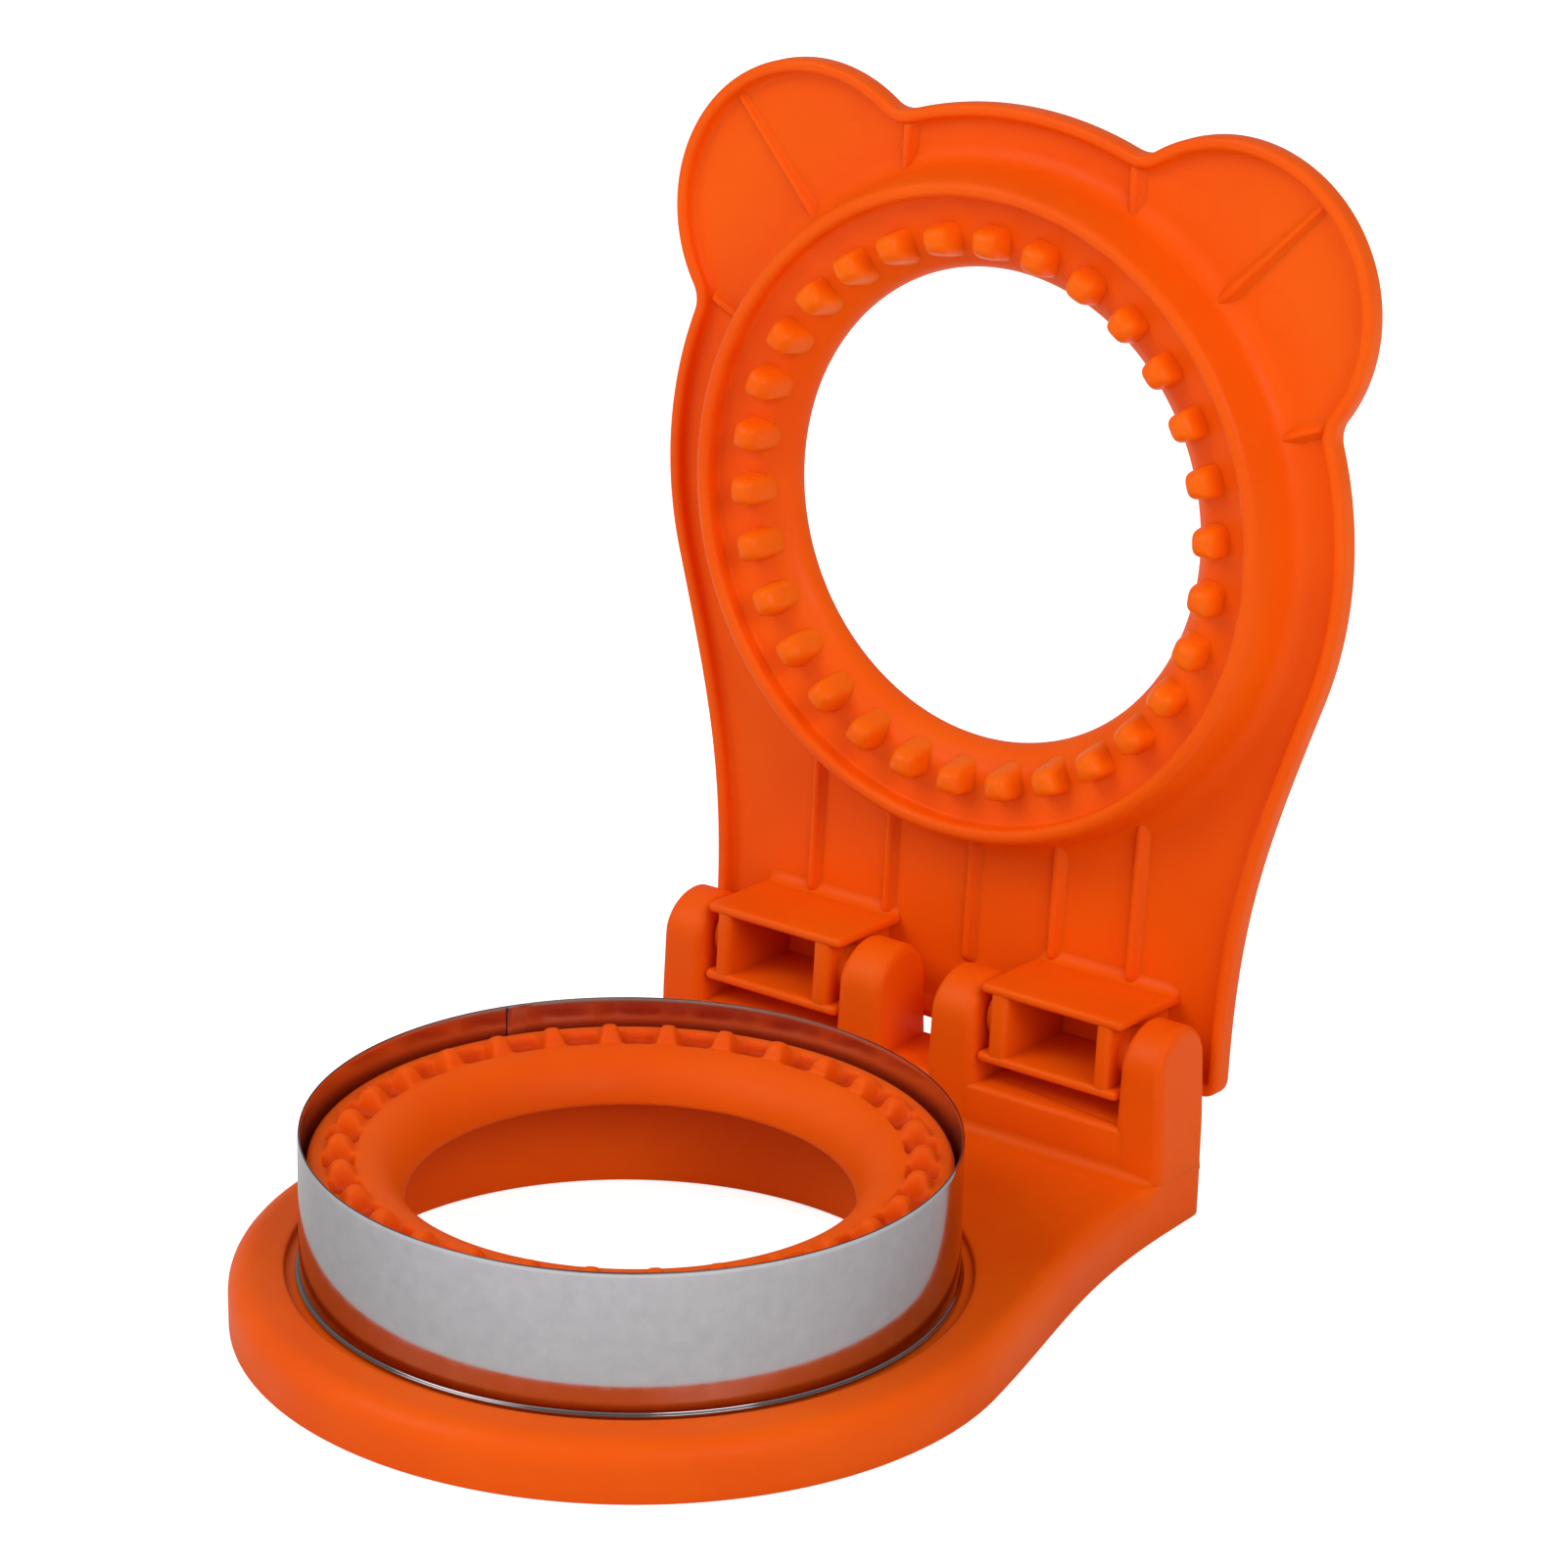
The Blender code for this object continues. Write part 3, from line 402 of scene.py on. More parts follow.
def slab(path, low, high, edge, edge_steps=5):
    """A closed path given a thickness from low to high, its edges rounded by the edge radius.

    Each row is (inset, height, shrink): drawn in along the normals, then shrunk toward the middle.
    """
    normals, middle = outline_normals(path), path.mean(axis=0)
    turn = np.linspace(0, math.pi / 2, edge_steps + 1)
    inset, lift = edge * (1 - np.sin(turn)), edge * (1 - np.cos(turn))
    half = [(edge, 0, 0), (edge, 0, 0.5), (edge, 0, 0.9)] + [(a, b, 1) for a, b in zip(inset, lift)]
    rows = [(a, low + b, c) for a, b, c in half] + [(a, high - b, c) for a, b, c in half[::-1]]
    grid = []
    for draw, height, shrink in rows:
        flat = middle + (path - normals * draw - middle) * shrink
        grid.append(np.column_stack([flat, np.full(len(flat), height)]))
    return np.stack(grid, 1)


def box_path(low, high, corner, arc_steps=5, longest=2.5):
    """A rectangle with rounded corners."""
    (x0, y0), (x1, y1) = low, high
    corners = [(x0, y0, corner), (x1, y0, corner), (x1, y1, corner), (x0, y1, corner)]
    return rounded_section(corners, arc_steps, longest)


# %% [markdown]
# ## Hinge step and towers
#
# A raised step runs across the neck. On it stand four towers that hold the hinge pins, in two pairs, with a
# knuckle box of the lid between each pair. Each tower's side view is an arch: straight sides under half an
# ellipse. Wide rounded edges give them their soft, domed look. Their sides lean a little, so that the mould
# can let go of them. The step's front meets the deck in a small hollow fillet.

# %% Step and towers
def arch_path(front, back, foot, top, steps=22):
    """A tower's side view in (y, z): up the front, over half an ellipse about the hinge, down the back."""
    turn = np.linspace(math.pi, 0, steps)
    reach = np.where(np.cos(turn) < 0, HINGE_Y - front, back - HINGE_Y)
    dome = np.stack([HINGE_Y + reach * np.cos(turn), HINGE_Z + (top - HINGE_Z) * np.sin(turn)], 1)
    legs = np.linspace(HINGE_Z, foot, 9)[1:]
    down, up = (np.stack([0 * legs + y, legs], 1) for y in (back, front))
    under = np.linspace(back, front, 7)[1:-1]
    return np.concatenate([dome, down, np.stack([under, 0 * under + foot], 1), up[::-1]])


def fillet_strip(start, end, wall, floor, radius, away):
    """A hollow quarter circle between a wall at y and a floor at z, whose radius fades out at both ends.

    The fade is sqrt(1 - s^14), with s the distance from the strip's middle. Away is +1 where the wall rises
    from the floor, and -1 where it hangs. The strip's back is buried in the wall and the floor.
    """
    along = np.linspace(start, end, 110)[:, None]
    share = np.abs(along - (start + end) / 2) / abs(end - start) * 2
    hollow = radius * np.sqrt(np.clip(1 - share ** 14, 0, 1)) + 0.02
    turn = np.linspace(0, math.pi / 2, 12)[None]
    behind, beneath = wall + 0.5 + 0 * hollow, 0 * hollow - 0.78
    y = np.concatenate([wall - hollow * (1 - np.sin(turn)), behind, behind, wall - hollow], 1)
    z = np.concatenate([hollow * (1 - np.cos(turn)), hollow, beneath, beneath], 1) * away + floor
    strip = np.stack([along + 0 * y, y, z], -1)
    ends = [row * [1, 0, 0] + row.mean(1, keepdims=True) * [0, 1, 1] for row in (strip[:1], strip[-1:])]
    return np.concatenate([ends[0], strip, ends[1]])


def drafted(grid, low, high, wider=0.45, narrower=0.25, outermost=40.5):
    """Leans a tower's sides in a straight line, from wider at the step to narrower at the top.

    The outermost faces start flush with the neck instead, and only lean inward.
    """
    lean = wider - (wider + narrower) * np.clip((grid[..., 2] - STEP_Z) / (TOWER_Z - STEP_Z), 0, 1)
    lean = np.where(np.abs(grid[..., 0]) > outermost, lean - wider, lean)
    grid = grid.copy()
    grid[..., 0] += lean * (grid[..., 0] - (low + high) / 2) / ((high - low) / 2)
    return grid


step_path = box_path((-41.0, 64.42), (41.0, 76.68), 0.6)
make_piece("hinge_step", slab(step_path, 6.5, STEP_Z, 0.9), wrap_columns=False)
foot = fillet_strip(-43.6, 43.6, wall=64.43, floor=8.38, radius=1.7, away=1)
make_piece("hinge_step_foot", foot, wrap_rows=False)
TOWERS = {"left_outer": (-44.18, -36.8), "left_inner": (-11.9, -4.3),
          "right_inner": (4.3, 11.9), "right_outer": (36.8, 44.18)}
arch = arch_path(TOWER_FRONT_Y, TOWER_BACK_Y, 6.6, TOWER_Z)
for name, (low, high) in TOWERS.items():
    tower = drafted(slab(arch, low, high, 1.5, 7)[..., [2, 0, 1]], low, high)
    make_piece("tower_" + name, tower, wrap_columns=False)
print("towers stand", round(TOWER_Z - STEP_Z, 1), "mm above the step")

# %% [markdown]
# ## The steel cutter
#
# The cutter is a strip of sheet steel rolled into a ring and lapped on itself. Its top edge is thinned to
# cut, and its foot is turned outward, so that it stands in the recess. It's a lathe shape, but a rolled strip
# is never quite round or flat, so the radius wanders by a few hundredths of a millimetre, which bends the
# reflections. Where the strip laps, a second layer lies inside the first. One end of it is a step, and the
# other eases into the ring.

# %% Cutter ring
def waver(angle, size, seed, terms=7):
    """A smooth random wave round a circle: a sum of sines whose amplitude falls as their number rises."""
    dice = np.random.default_rng(seed)
    k = np.arange(2, 2 + terms)[:, None]
    phase, amount = dice.uniform(0, math.tau, (terms, 1)), dice.normal(0, 1, (terms, 1)) / k
    return size * np.sum(amount * np.sin(k * angle[None] + phase), axis=0)


cutter_section = rounded_section([
    (44.9, STEEL_TOP_Z, 0.05), (STEEL_RADIUS, 27.5, 0.5), (STEEL_RADIUS, 8.1, 0.4), (45.5, 8.1, 0.12),
    (45.5, STEEL_FOOT_Z, 0.12), (STEEL_BORE, STEEL_FOOT_Z, 0.6), (STEEL_BORE, 27.5, 0.5),
    (44.7, STEEL_TOP_Z, 0.05),
], arc_steps=4, longest=1.2)
ring = lathe(cutter_section, 432)
angle = np.arctan2(ring[:, 0, 1], ring[:, 0, 0])
lean = ((cutter_section[:, 1] - STEEL_FOOT_Z) / (STEEL_TOP_Z - STEEL_FOOT_Z))[None]
ring[..., :2] *= 1 + (waver(angle, 0.05, 4)[:, None] * lean / STEEL_RADIUS)[..., None]
make_piece("cutter_band", ring)

LAP_START_DEG, LAP_END_DEG, LAP_STEPS = 146, 151, 25
lap_angle = np.radians(np.linspace(LAP_START_DEG, LAP_END_DEG, LAP_STEPS))
lap_depth = -0.06 + 0.36 * np.clip(np.linspace(0, 1.2, LAP_STEPS), 0, 1) ** 2
directions = np.stack([np.cos(lap_angle), np.sin(lap_angle)], 1)
lap_path = np.concatenate([44.75 * directions, ((STEEL_BORE - lap_depth[:, None]) * directions)[::-1]])
make_piece("cutter_lap", slab(lap_path, 8.9, 28.0, 0.04, 3), wrap_columns=False)
print("the steel stands", round(STEEL_TOP_Z - DECK_Z, 1), "mm above the deck")

# %% [markdown]
# ## The sealing ring
#
# Inside the steel stands the ring that crimps the bread. A quarter-round funnel rises from its mouth to a
# soft crest. Outside the crest runs a ring of thirty pockets, and a flat shoulder runs round outside them.
# The ridges between the pockets are half-round arches, as if a bead had been laid round the ring and cut at
# each bump of the lid. Separate bars would meet the crest in hard lines, so the whole top is one grid. Its
# height is the higher of two surfaces: the ring's section with its pockets, and the ridge. A soft maximum
# rounds the lines where they meet. Each vertex keeps how deep in a pocket it lies, because painted shade
# darkens the pockets' colour there.

# %% Crest, pockets and ridges
COUNT = 30
CREST_RADIUS, CREST_Z, SHOULDER_RADIUS, SHOULDER_Z, SHOULDER_ROUND = 37.1, 24.2, 42.85, 24.3, 0.95
FUNNEL_ROUND, FUNNEL_MOUTH_Z = 6.5, 17.7
POCKET_Z, POCKET_HALF_LENGTH, POCKET_FLAT, POCKET_CORNER = 22.4, 2.3, 0.9, 1.75
RIDGE_RADIUS, RIDGE_HALF_LENGTH, RIDGE_HALF_WIDTH, RIDGE_Z, RIDGE_ROOT_Z = 39.5, 2.35, 1.75, 26.1, 21.8


def soft_max(a, b, soft):
    """The larger of two values, rounded off where they come within the soft distance of each other."""
    share = np.clip(0.5 + 0.5 * (a - b) / soft, 0, 1)
    return b * (1 - share) + a * share + soft * share * (1 - share)


def crimped_height(radius, angle):
    """The height of the ring's top at a radius and an angle.

    The section is a level line, sunk to the pockets' floors inside a rounded square, 1 - |u|^3.2 - |v|^3.2.
    The ridge is a near half circle along the radius times a steep bell across, 1 - v^4.
    """
    pitch = math.tau / COUNT
    across = np.abs(radius * ((angle + math.pi / 2) % pitch - pitch / 2))
    corner = np.maximum(radius * pitch / 2 - across - POCKET_FLAT, 0) / POCKET_CORNER
    outward = (radius - RIDGE_RADIUS) / POCKET_HALF_LENGTH
    inside = np.clip(1 - (np.abs(outward) ** 3.2 + corner ** 3.2), -1, 1)
    level = CREST_Z + (SHOULDER_Z - CREST_Z) * smooth(radius, 37.2, 41.6)
    section = level - (CREST_Z - POCKET_Z) * smooth(inside, -0.04, 0.55)
    arch = np.sqrt(np.clip(1 - np.abs((radius - RIDGE_RADIUS) / RIDGE_HALF_LENGTH) ** 2.2, 0, 1))
    side = np.clip(1 - (across / (RIDGE_HALF_WIDTH + 0.5 * (1 - arch))) ** 4.0, 0, 1) ** 0.7
    ridge = RIDGE_ROOT_Z + (RIDGE_Z - RIDGE_ROOT_Z) * arch * side
    return soft_max(section, ridge, 0.35)


under = rounded_section([
    (43.82, 23.0, 0), (43.98, 3.1, 0.3), (47.5, 3.1, 0.4), (47.5, 0.4, 0.4), (42.5, 0.4, 0.3),
    (42.0, 21.2, 0.8), (34.3, 21.2, 0.8), (31.6, 17.7, 0.35), (30.75, 17.62, 0),
], arc_steps=4, longest=4.5, closed=False)
turn = np.radians(np.linspace(180, 94, 22))
funnel = FUNNEL_ROUND * np.stack([np.cos(turn), np.sin(turn)], 1) + [CREST_RADIUS, FUNNEL_MOUTH_Z]
across_top = np.arange(36.75, SHOULDER_RADIUS, 0.2)[:, None] * [1, 0] + [0, SHOULDER_Z]
turn = np.linspace(0.12, math.pi / 2, 8)
edge = SHOULDER_ROUND * np.stack([np.sin(turn), np.cos(turn) - 1], 1) + [SHOULDER_RADIUS, SHOULDER_Z]
crest = lathe(np.concatenate([under, funnel, across_top, edge]), 900)
top = slice(len(under) + len(funnel), -len(edge))
x, y = crest[:, top, 0], crest[:, top, 1]
crest[:, top, 2] = crimped_height(np.hypot(x, y), np.arctan2(y, x))
sealing_crest = make_piece("sealing_crest", crest)


def pocket_depths(places):
    """How deep each place on the top lies in a pocket: 0 at the crest's height, 1 on the floor."""
    radius = np.hypot(places[:, 0], places[:, 1])
    pocketed = smooth(radius, 37.2, 37.6) * (1 - smooth(radius, 41.8, 42.2))
    return pocketed * np.clip((CREST_Z - places[:, 2]) / (CREST_Z - POCKET_Z), 0, 1)


store(sealing_crest, "depth", pocket_depths(vertex_places(sealing_crest)))
print("ridges stand", round(RIDGE_Z - POCKET_Z, 2), "mm above the pockets' floors")

# %% [markdown]
# ## The lid
#
# The lid is the same kind of plate as the base, seen from its underside in the photograph: a rim round the
# outline, a thin floor, and the pressing ring with the funnel up to the hole. A fillet joins the pressing
# ring to the floor and shows as a soft band of light. Along the heel the rim is 1.3 mm deeper, because it
# rests on the towers' backs there and stops the lid.

# %% Lid shell
LID_SECTION = (
    outside_rows(
        [(6.0, LID_TOP_Z, 0), (0, LID_TOP_Z, 0.9), (0.05, 32.4, 0.85), (1.9, 32.4, 0.8),
         (2.0, LID_FLOOR_Z, 1.1), (4.0, LID_FLOOR_Z, 0)], arc_steps=6, longest=1.6)
    + floor_rows(4.0, 52.4, LID_FLOOR_Z, 6)
    + inside_rows(
        [(52.4, LID_FLOOR_Z, 0), (49.75, LID_FLOOR_Z, 3.3), (47.45, 25.6, 1.3), (45.45, 25.6, 0.95),
         (45.45, 28.45, 0.6), (41.5, 28.95, 3.0), (38.0, 29.35, 4.5), (34.5, 32.3, 4.0),
         (34.5, LID_TOP_Z, 1.7), (38.0, LID_TOP_Z, 0.8), (38.0, 31.0, 3.6), (46.8, 31.0, 1.2),
         (47.2, LID_TOP_Z, 0.8), (48.6, LID_TOP_Z, 0)], arc_steps=8, longest=0.9)
    + floor_rows(6.0, 48.6, LID_TOP_Z, 6, inward=False)
)
lid_grid = plate_grid(lid_outline, LID_SECTION, spread=2.4)
heights = np.array([row[2] for row in LID_SECTION])
in_rim = np.array([share == 0 and inset < 2.4 for inset, _, _, share in LID_SECTION])
edge_share = np.where(in_rim, np.clip((34.0 - heights) / 1.6, 0, 1), 0)
outer_loop = lid_outline(0)
heel = np.where(outer_loop[:, 1] > 77, 1 - smooth(np.abs(outer_loop[:, 0]), 41.0, 42.6), 0)
lid_grid[..., 2] -= 1.3 * heel[:, None] * edge_share[None]
make_piece("lid_plate", lid_grid, body="lid")

# %% [markdown]
# ## Bumps
#
# Thirty bumps push the bread into the pockets. Each is a rounded block, wider at its root and with a small
# fillet where it grows out of the funnel. Its outline is a superellipse, halfway between an ellipse and a
# rectangle, and its size follows a curve from root to tip.

# %% Lid bumps
def bump_grid(around=36, levels=18):
    """The outline |x|^3.4 + |y|^3.4 = 1, whose half sizes shrink from a flared root to a round tip."""
    turn = np.linspace(0, math.tau, around, endpoint=False)[:, None]
    up = np.linspace(0, 1, levels)[None]
    x, y = (np.sign(share) * np.abs(share) ** (2 / 3.4) for share in (np.cos(turn), np.sin(turn)))
    rise = np.sin(up * math.pi / 2) ** 1.15
    cap = np.clip(1 - np.clip((rise - 0.66) / 0.34, 0, 1) ** 2.3, 0, 1) ** (1 / 2.3)
    flare = 0.7 * np.exp(-rise / 0.12)
    size = 0.10 + 0.90 * cap
    half_radial = (2.75 - 0.90 * rise) * size + flare
    half_across = (2.40 - 0.42 * rise) * size + flare
    half_radial[:, [0, -1]], half_across[:, [0, -1]] = 0, 0
    middle = 38.85 + 0.45 * rise
    radial = middle + x * half_radial
    across = y * half_across * (1 + 0.10 * (radial - 39) / 2.5)
    root = 30.1 + 0.42 * np.clip(41.4 - radial, 0, None) ** 1.15
    height = root + (BUMP_TIP_Z - root) * rise
    return np.stack([across, -radial, height + 0 * x], -1)


def round_the_ring(grid, count):
    """Copies of a grid turned by equal angles about the centre line."""
    turn = math.tau * np.arange(count) / count
    cos, sin = np.cos(turn)[:, None, None], np.sin(turn)[:, None, None]
    x, y = grid[None, ..., 0], grid[None, ..., 1]
    return np.stack([x * cos - y * sin, x * sin + y * cos, grid[None, ..., 2] + 0 * cos], -1)


make_piece("lid_bumps", round_the_ring(bump_grid(), COUNT), wrap_columns=False, body="lid")
print("the bumps reach", round(RIDGE_Z - BUMP_TIP_Z, 1), "mm below the ridges' tops")

# %% [markdown]
# ## Ribs
#
# Low ribs stiffen the thin floor: five run back to the hinge, and each ear has one at either notch and one
# across it. Each is a strip with a round top and a fillet along both feet, so its cross-section is a bell.
# Its height falls off at the far end, and the ears' ribs grow or shrink on the way.

# %% Lid ribs
def rib_grid(start, end, slim=1.0, height=1.35, width=1.05, fade=1.6, along=40, across=29):
    """A bell section, 1 - |v|^2.6 with a flared foot, carried along a line and tapered to the slim share."""
    start, end = np.array(start, float), np.array(end, float)
    length = np.linalg.norm(end - start)
    forward = (end - start) / length
    side = np.array([-forward[1], forward[0]])
    s = np.linspace(0, length, along)[:, None]
    v = np.linspace(-1, 1, across)[None]
    fall = np.clip((length - s) / fade, 0, 1)
    fall = fall * (2 - fall)
    size = 1 + (slim - 1) * np.clip((s / length - 0.1) / 0.9, 0, 1)
    reach = size * width * v + 0.55 * np.sign(v) * np.clip((np.abs(v) - 0.6) / 0.4, 0, 1) ** 2
    bell = np.clip(1 - np.abs(v) ** 2.6, 0, 1) ** 1.15
    top = LID_FLOOR_Z + 0.2 - (height * size + 0.2) * bell * fall
    place = start + s[..., None] * forward + reach[..., None] * side
    upper = np.concatenate([place, (top + 0 * place[..., 0])[..., None]], -1)
    lower = upper[:, ::-1] * [1, 1, 0] + [0, 0, 35.2]
    rib = np.concatenate([upper, lower], 1)
    first, last = (end.mean(1, keepdims=True) + 0 * end for end in (rib[:1], rib[-1:]))
    return np.concatenate([first, rib, last])


def around_front(degrees, radius):
    """A point at an angle from the front and a distance from the centre line."""
    return radius * math.sin(math.radians(degrees)), -radius * math.cos(math.radians(degrees))


RIB_START, NOTCH_X = 48.4, 19.0
lines = [((x, math.sqrt(RIB_START**2 - x * x)), (x, 65.6), 1.0) for x in (-28.1, -14.6, 14.6, 28.1)]
lines.append(((0, RIB_START), (0, 69.2), 1.0))
for sign in (-1, 1):
    start = (sign * NOTCH_X, -math.sqrt(RIB_START**2 - NOTCH_X**2))
    lines.append((start, (sign * NOTCH_X, -53.6), 1.15))
    for degrees, far, slim in ((43.3, 72.2, 0.62), (67.4, 56.8, 0.9)):
        lines.append((around_front(sign * degrees, RIB_START), around_front(sign * degrees, far), slim))
ribs = np.stack([rib_grid(*line) for line in lines])
make_piece("lid_ribs", ribs, wrap_rows=False, body="lid")
print(len(lines), "ribs")

# %% [markdown]
# ## Knuckle boxes
#
# Two hollow boxes hang under the lid's heel and carry the pins. Each has two wide plates with two side walls
# set in between them, and a round boss on each wall where its pin goes in. All are slabs with soft edges that
# overlap where they join, and a fillet joins each front plate to the lid.

# %% Boxes and bosses
def mirrored(sign, a, b):
    """The span from a to b on the right, or its mirror image on the left, low end first."""
    return sorted((sign * a, sign * b))


def hinge_circle(radius):
    """A circle round the hinge's line, in (y, z)."""
    turn = np.linspace(0, math.tau, 64, endpoint=False)
    return np.stack([HINGE_Y + radius * np.cos(turn), HINGE_Z + radius * np.sin(turn)], 1)


# Each part has its two ends along x, its front and back in y, its mouth in z, its corner and its edge.
BOX_PARTS = {
    "front_plate": (12.3, 36.3, 65.0, 66.4, 18.8, 1.0, 0.6),
    "back_plate": (12.3, 36.3, 75.5, 76.9, 18.8, 1.0, 0.6),
    "inner_wall": (14.1, 17.1, 66.0, 75.9, 18.95, 0.9, 0.05),
    "outer_wall": (32.0, 34.6, 66.0, 75.9, 18.95, 0.9, 0.05),
}
for side, sign in SIDES.items():
    for part, (a, b, front, back, mouth, corner, edge) in BOX_PARTS.items():
        low, high = mirrored(sign, a, b)
        path = box_path((low, mouth), (high, 35.2), corner, longest=1.6)
        grid = slab(path, front, back, edge)[..., [0, 2, 1]]
        make_piece(f"{side}_box_{part}", grid, wrap_columns=False, body="lid")
    low, high = mirrored(sign, 12.4, 36.2)
    root = fillet_strip(low, high, wall=65.02, floor=34.52, radius=2.0, away=-1)
    make_piece(f"{side}_box_fillet", root, wrap_rows=False, body="lid")
    for part, (a, b) in {"inner_boss": (12.3, 15.0), "outer_boss": (33.6, 36.4)}.items():
        grid = slab(hinge_circle(3.6), *mirrored(sign, a, b), 0.3)[..., [2, 0, 1]]
        make_piece(f"{side}_box_{part}", grid, wrap_columns=False, body="lid")
print("two boxes of", len(BOX_PARTS), "slabs, a fillet and two bosses each")

# %% [markdown]
# ## Hinge pins
#
# Four short steel pins join the towers to the boxes. They end blind inside the towers and the box walls, so
# they hardly show, but the lid can't turn without them.

# %% Pins
for name, (a, b) in {"outer": (32.7, 41.6), "inner": (7.1, 16.0)}.items():
    for side, sign in SIDES.items():
        grid = slab(hinge_circle(1.5), *mirrored(sign, a, b), 0.25)[..., [2, 0, 1]]
        make_piece(f"pin_{side}_{name}", grid, wrap_columns=False)

# %% [markdown]
# ## What stands for what
#
# Each new surface takes the place of a CAD node. The CAD nodes stay in the file for collision and joints, and
# only their looks are hidden.

# %% Hide the CAD nodes that the new surfaces stand for
STANDS_FOR = {"base_tray": "base_shell", "cutter_band": "cutter_ring",
              "sealing_crest": "sealing_ring", "lid_plate": "lid_shell"}
STANDS_FOR.update({name: "hinge_" + name for name in pieces if name.startswith("pin_")})
for name, node in STANDS_FOR.items():
    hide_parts(node)
print("new pieces:", len(pieces))

# %% [markdown]
# ## Orange plastic
#
# The plastic is a saturated orange with a satin surface. Four faint things are laid over a flat colour: slow
# drifts of colour, patches of different gloss, a fine grain from the mould, and a slow waviness that bends
# the highlights. All four read the object's own coordinates, so they stay with the piece when the lid moves.
# The lid's bumps are glossier than the rest, and painted lighter to stand for their highlights. The sealing
# ring's pockets are painted darker than its crest, as painted shade.

# %% Node helpers
def feed(socket, value):
    """Links an input to a node's output, or sets it to a plain value."""
    if isinstance(value, bpy.types.NodeSocket):
        socket.id_data.links.new(value, socket)
    else:
        socket.default_value = value


def feed_inputs(node, **inputs):
    """Feeds a node's inputs by name. An underscore stands for a space."""
    for name, value in inputs.items():
        feed(node.inputs[name.replace("_", " ")], value)
    return node


def add_node(tree, kind, **inputs):
    """A new node with its inputs fed by name."""
    return feed_inputs(tree.nodes.new(kind), **inputs)


def calculate(tree, operation, *values, kind="ShaderNodeMath"):
    """What a Math node, or a Vector Math node, makes of the values."""
    node = tree.nodes.new(kind)
    node.operation = operation
    for socket, value in zip(node.inputs, values):
        feed(socket, value)
    return node.outputs["Value"]


def mix_colours(tree, share, first, second, blend="MIX"):
    """The first colour, which gives way to the second, or is multiplied by it, as the share rises to one."""
    node = tree.nodes.new("ShaderNodeMix")
    node.data_type, node.blend_type = "RGBA", blend
    return feed_inputs(node, Factor=share, A=first, B=second).outputs["Result"]


def two_tones(tree, value, low, dark, high, light):
    """A ramp from the dark colour at the low value to the light colour at the high one."""
    ramp = add_node(tree, "ShaderNodeValToRGB", Fac=value)
    first, second = ramp.color_ramp.elements
    first.position, first.color = low, (*dark, 1)
    second.position, second.color = high, (*light, 1)
    return ramp.outputs["Color"]


def read_attribute(tree, name, output):
    """What the piece's own attribute holds."""
    node = tree.nodes.new("ShaderNodeAttribute")
    node.attribute_name = name
    return node.outputs[output]


def object_place(tree):
    """The object's own coordinates."""
    return tree.nodes.new("ShaderNodeTexCoord").outputs["Object"]


def fresh_material(name):
    """A material that holds only a Principled shader and its output."""
    surface = bpy.data.materials.new(name)
    surface.use_nodes = True
    return surface, surface.node_tree, surface.node_tree.nodes["Principled BSDF"]


def reopen(surface, name):
    """A finished material's tree and shader, and what feeds one of the shader's inputs."""
    shader = surface.node_tree.nodes["Principled BSDF"]
    return surface.node_tree, shader, shader.inputs[name].links[0].from_socket


def noise(tree, place, scale, detail=3.0, roughness=0.5):
    """Cloudy noise, its scale in lumps per metre."""
    node = add_node(tree, "ShaderNodeTexNoise", Vector=place, Scale=scale, Detail=detail, Roughness=roughness)
    return node.outputs["Fac"]


def remap(tree, value, low, high, start=0.35, end=0.65):
    """Turns a value from start to end into one from low to high. Most noise lies between 0.35 and 0.65."""
    sizes = {"From_Min": start, "From_Max": end, "To_Min": low, "To_Max": high}
    return add_node(tree, "ShaderNodeMapRange", Value=value, **sizes).outputs["Result"]


def bump(tree, height, strength, distance, **before):
    """Tilts the surface as if the height stood out by the distance in metres."""
    node = add_node(tree, "ShaderNodeBump", Height=height, Strength=strength, Distance=distance, **before)
    return node.outputs["Normal"]


# %% Plastic
DEEP_ORANGE, BRIGHT_ORANGE = (0.87, 0.094, 0.0010), (0.93, 0.119, 0.0016)


def orange_plastic(name, gloss=0.0, grain=1.0, deep=DEEP_ORANGE, bright=BRIGHT_ORANGE):
    """Satin orange plastic: drifting colour, patchy gloss, mould grain and slow waves."""
    surface, tree, shader = fresh_material(name)
    place = object_place(tree)
    waves = bump(tree, noise(tree, place, 70, 1), 0.35, 0.00010)
    feed_inputs(
        shader,
        Base_Color=two_tones(tree, noise(tree, place, 34), 0.30, deep, 0.70, bright),
        Roughness=remap(tree, noise(tree, place, 120, 4), 0.40 - gloss, 0.50 - gloss),
        Normal=bump(tree, noise(tree, place, 1900, 2), 0.10 * grain, 0.00004, Normal=waves),
        IOR=1.49, Specular_IOR_Level=0.10,
        Subsurface_Weight=0.30, Subsurface_Radius=(1.0, 0.12, 0.02), Subsurface_Scale=0.0022,
    )
    return surface


def paint_shade(surface, attribute, shade_tint):
    """Multiplies the colour by a painted shade tint where the piece's attribute rises to one."""
    tree, shader, colour = reopen(surface, "Base Color")
    share = read_attribute(tree, attribute, "Fac")
    feed_inputs(shader, Base_Color=mix_colours(tree, share, colour, shade_tint, "MULTIPLY"))


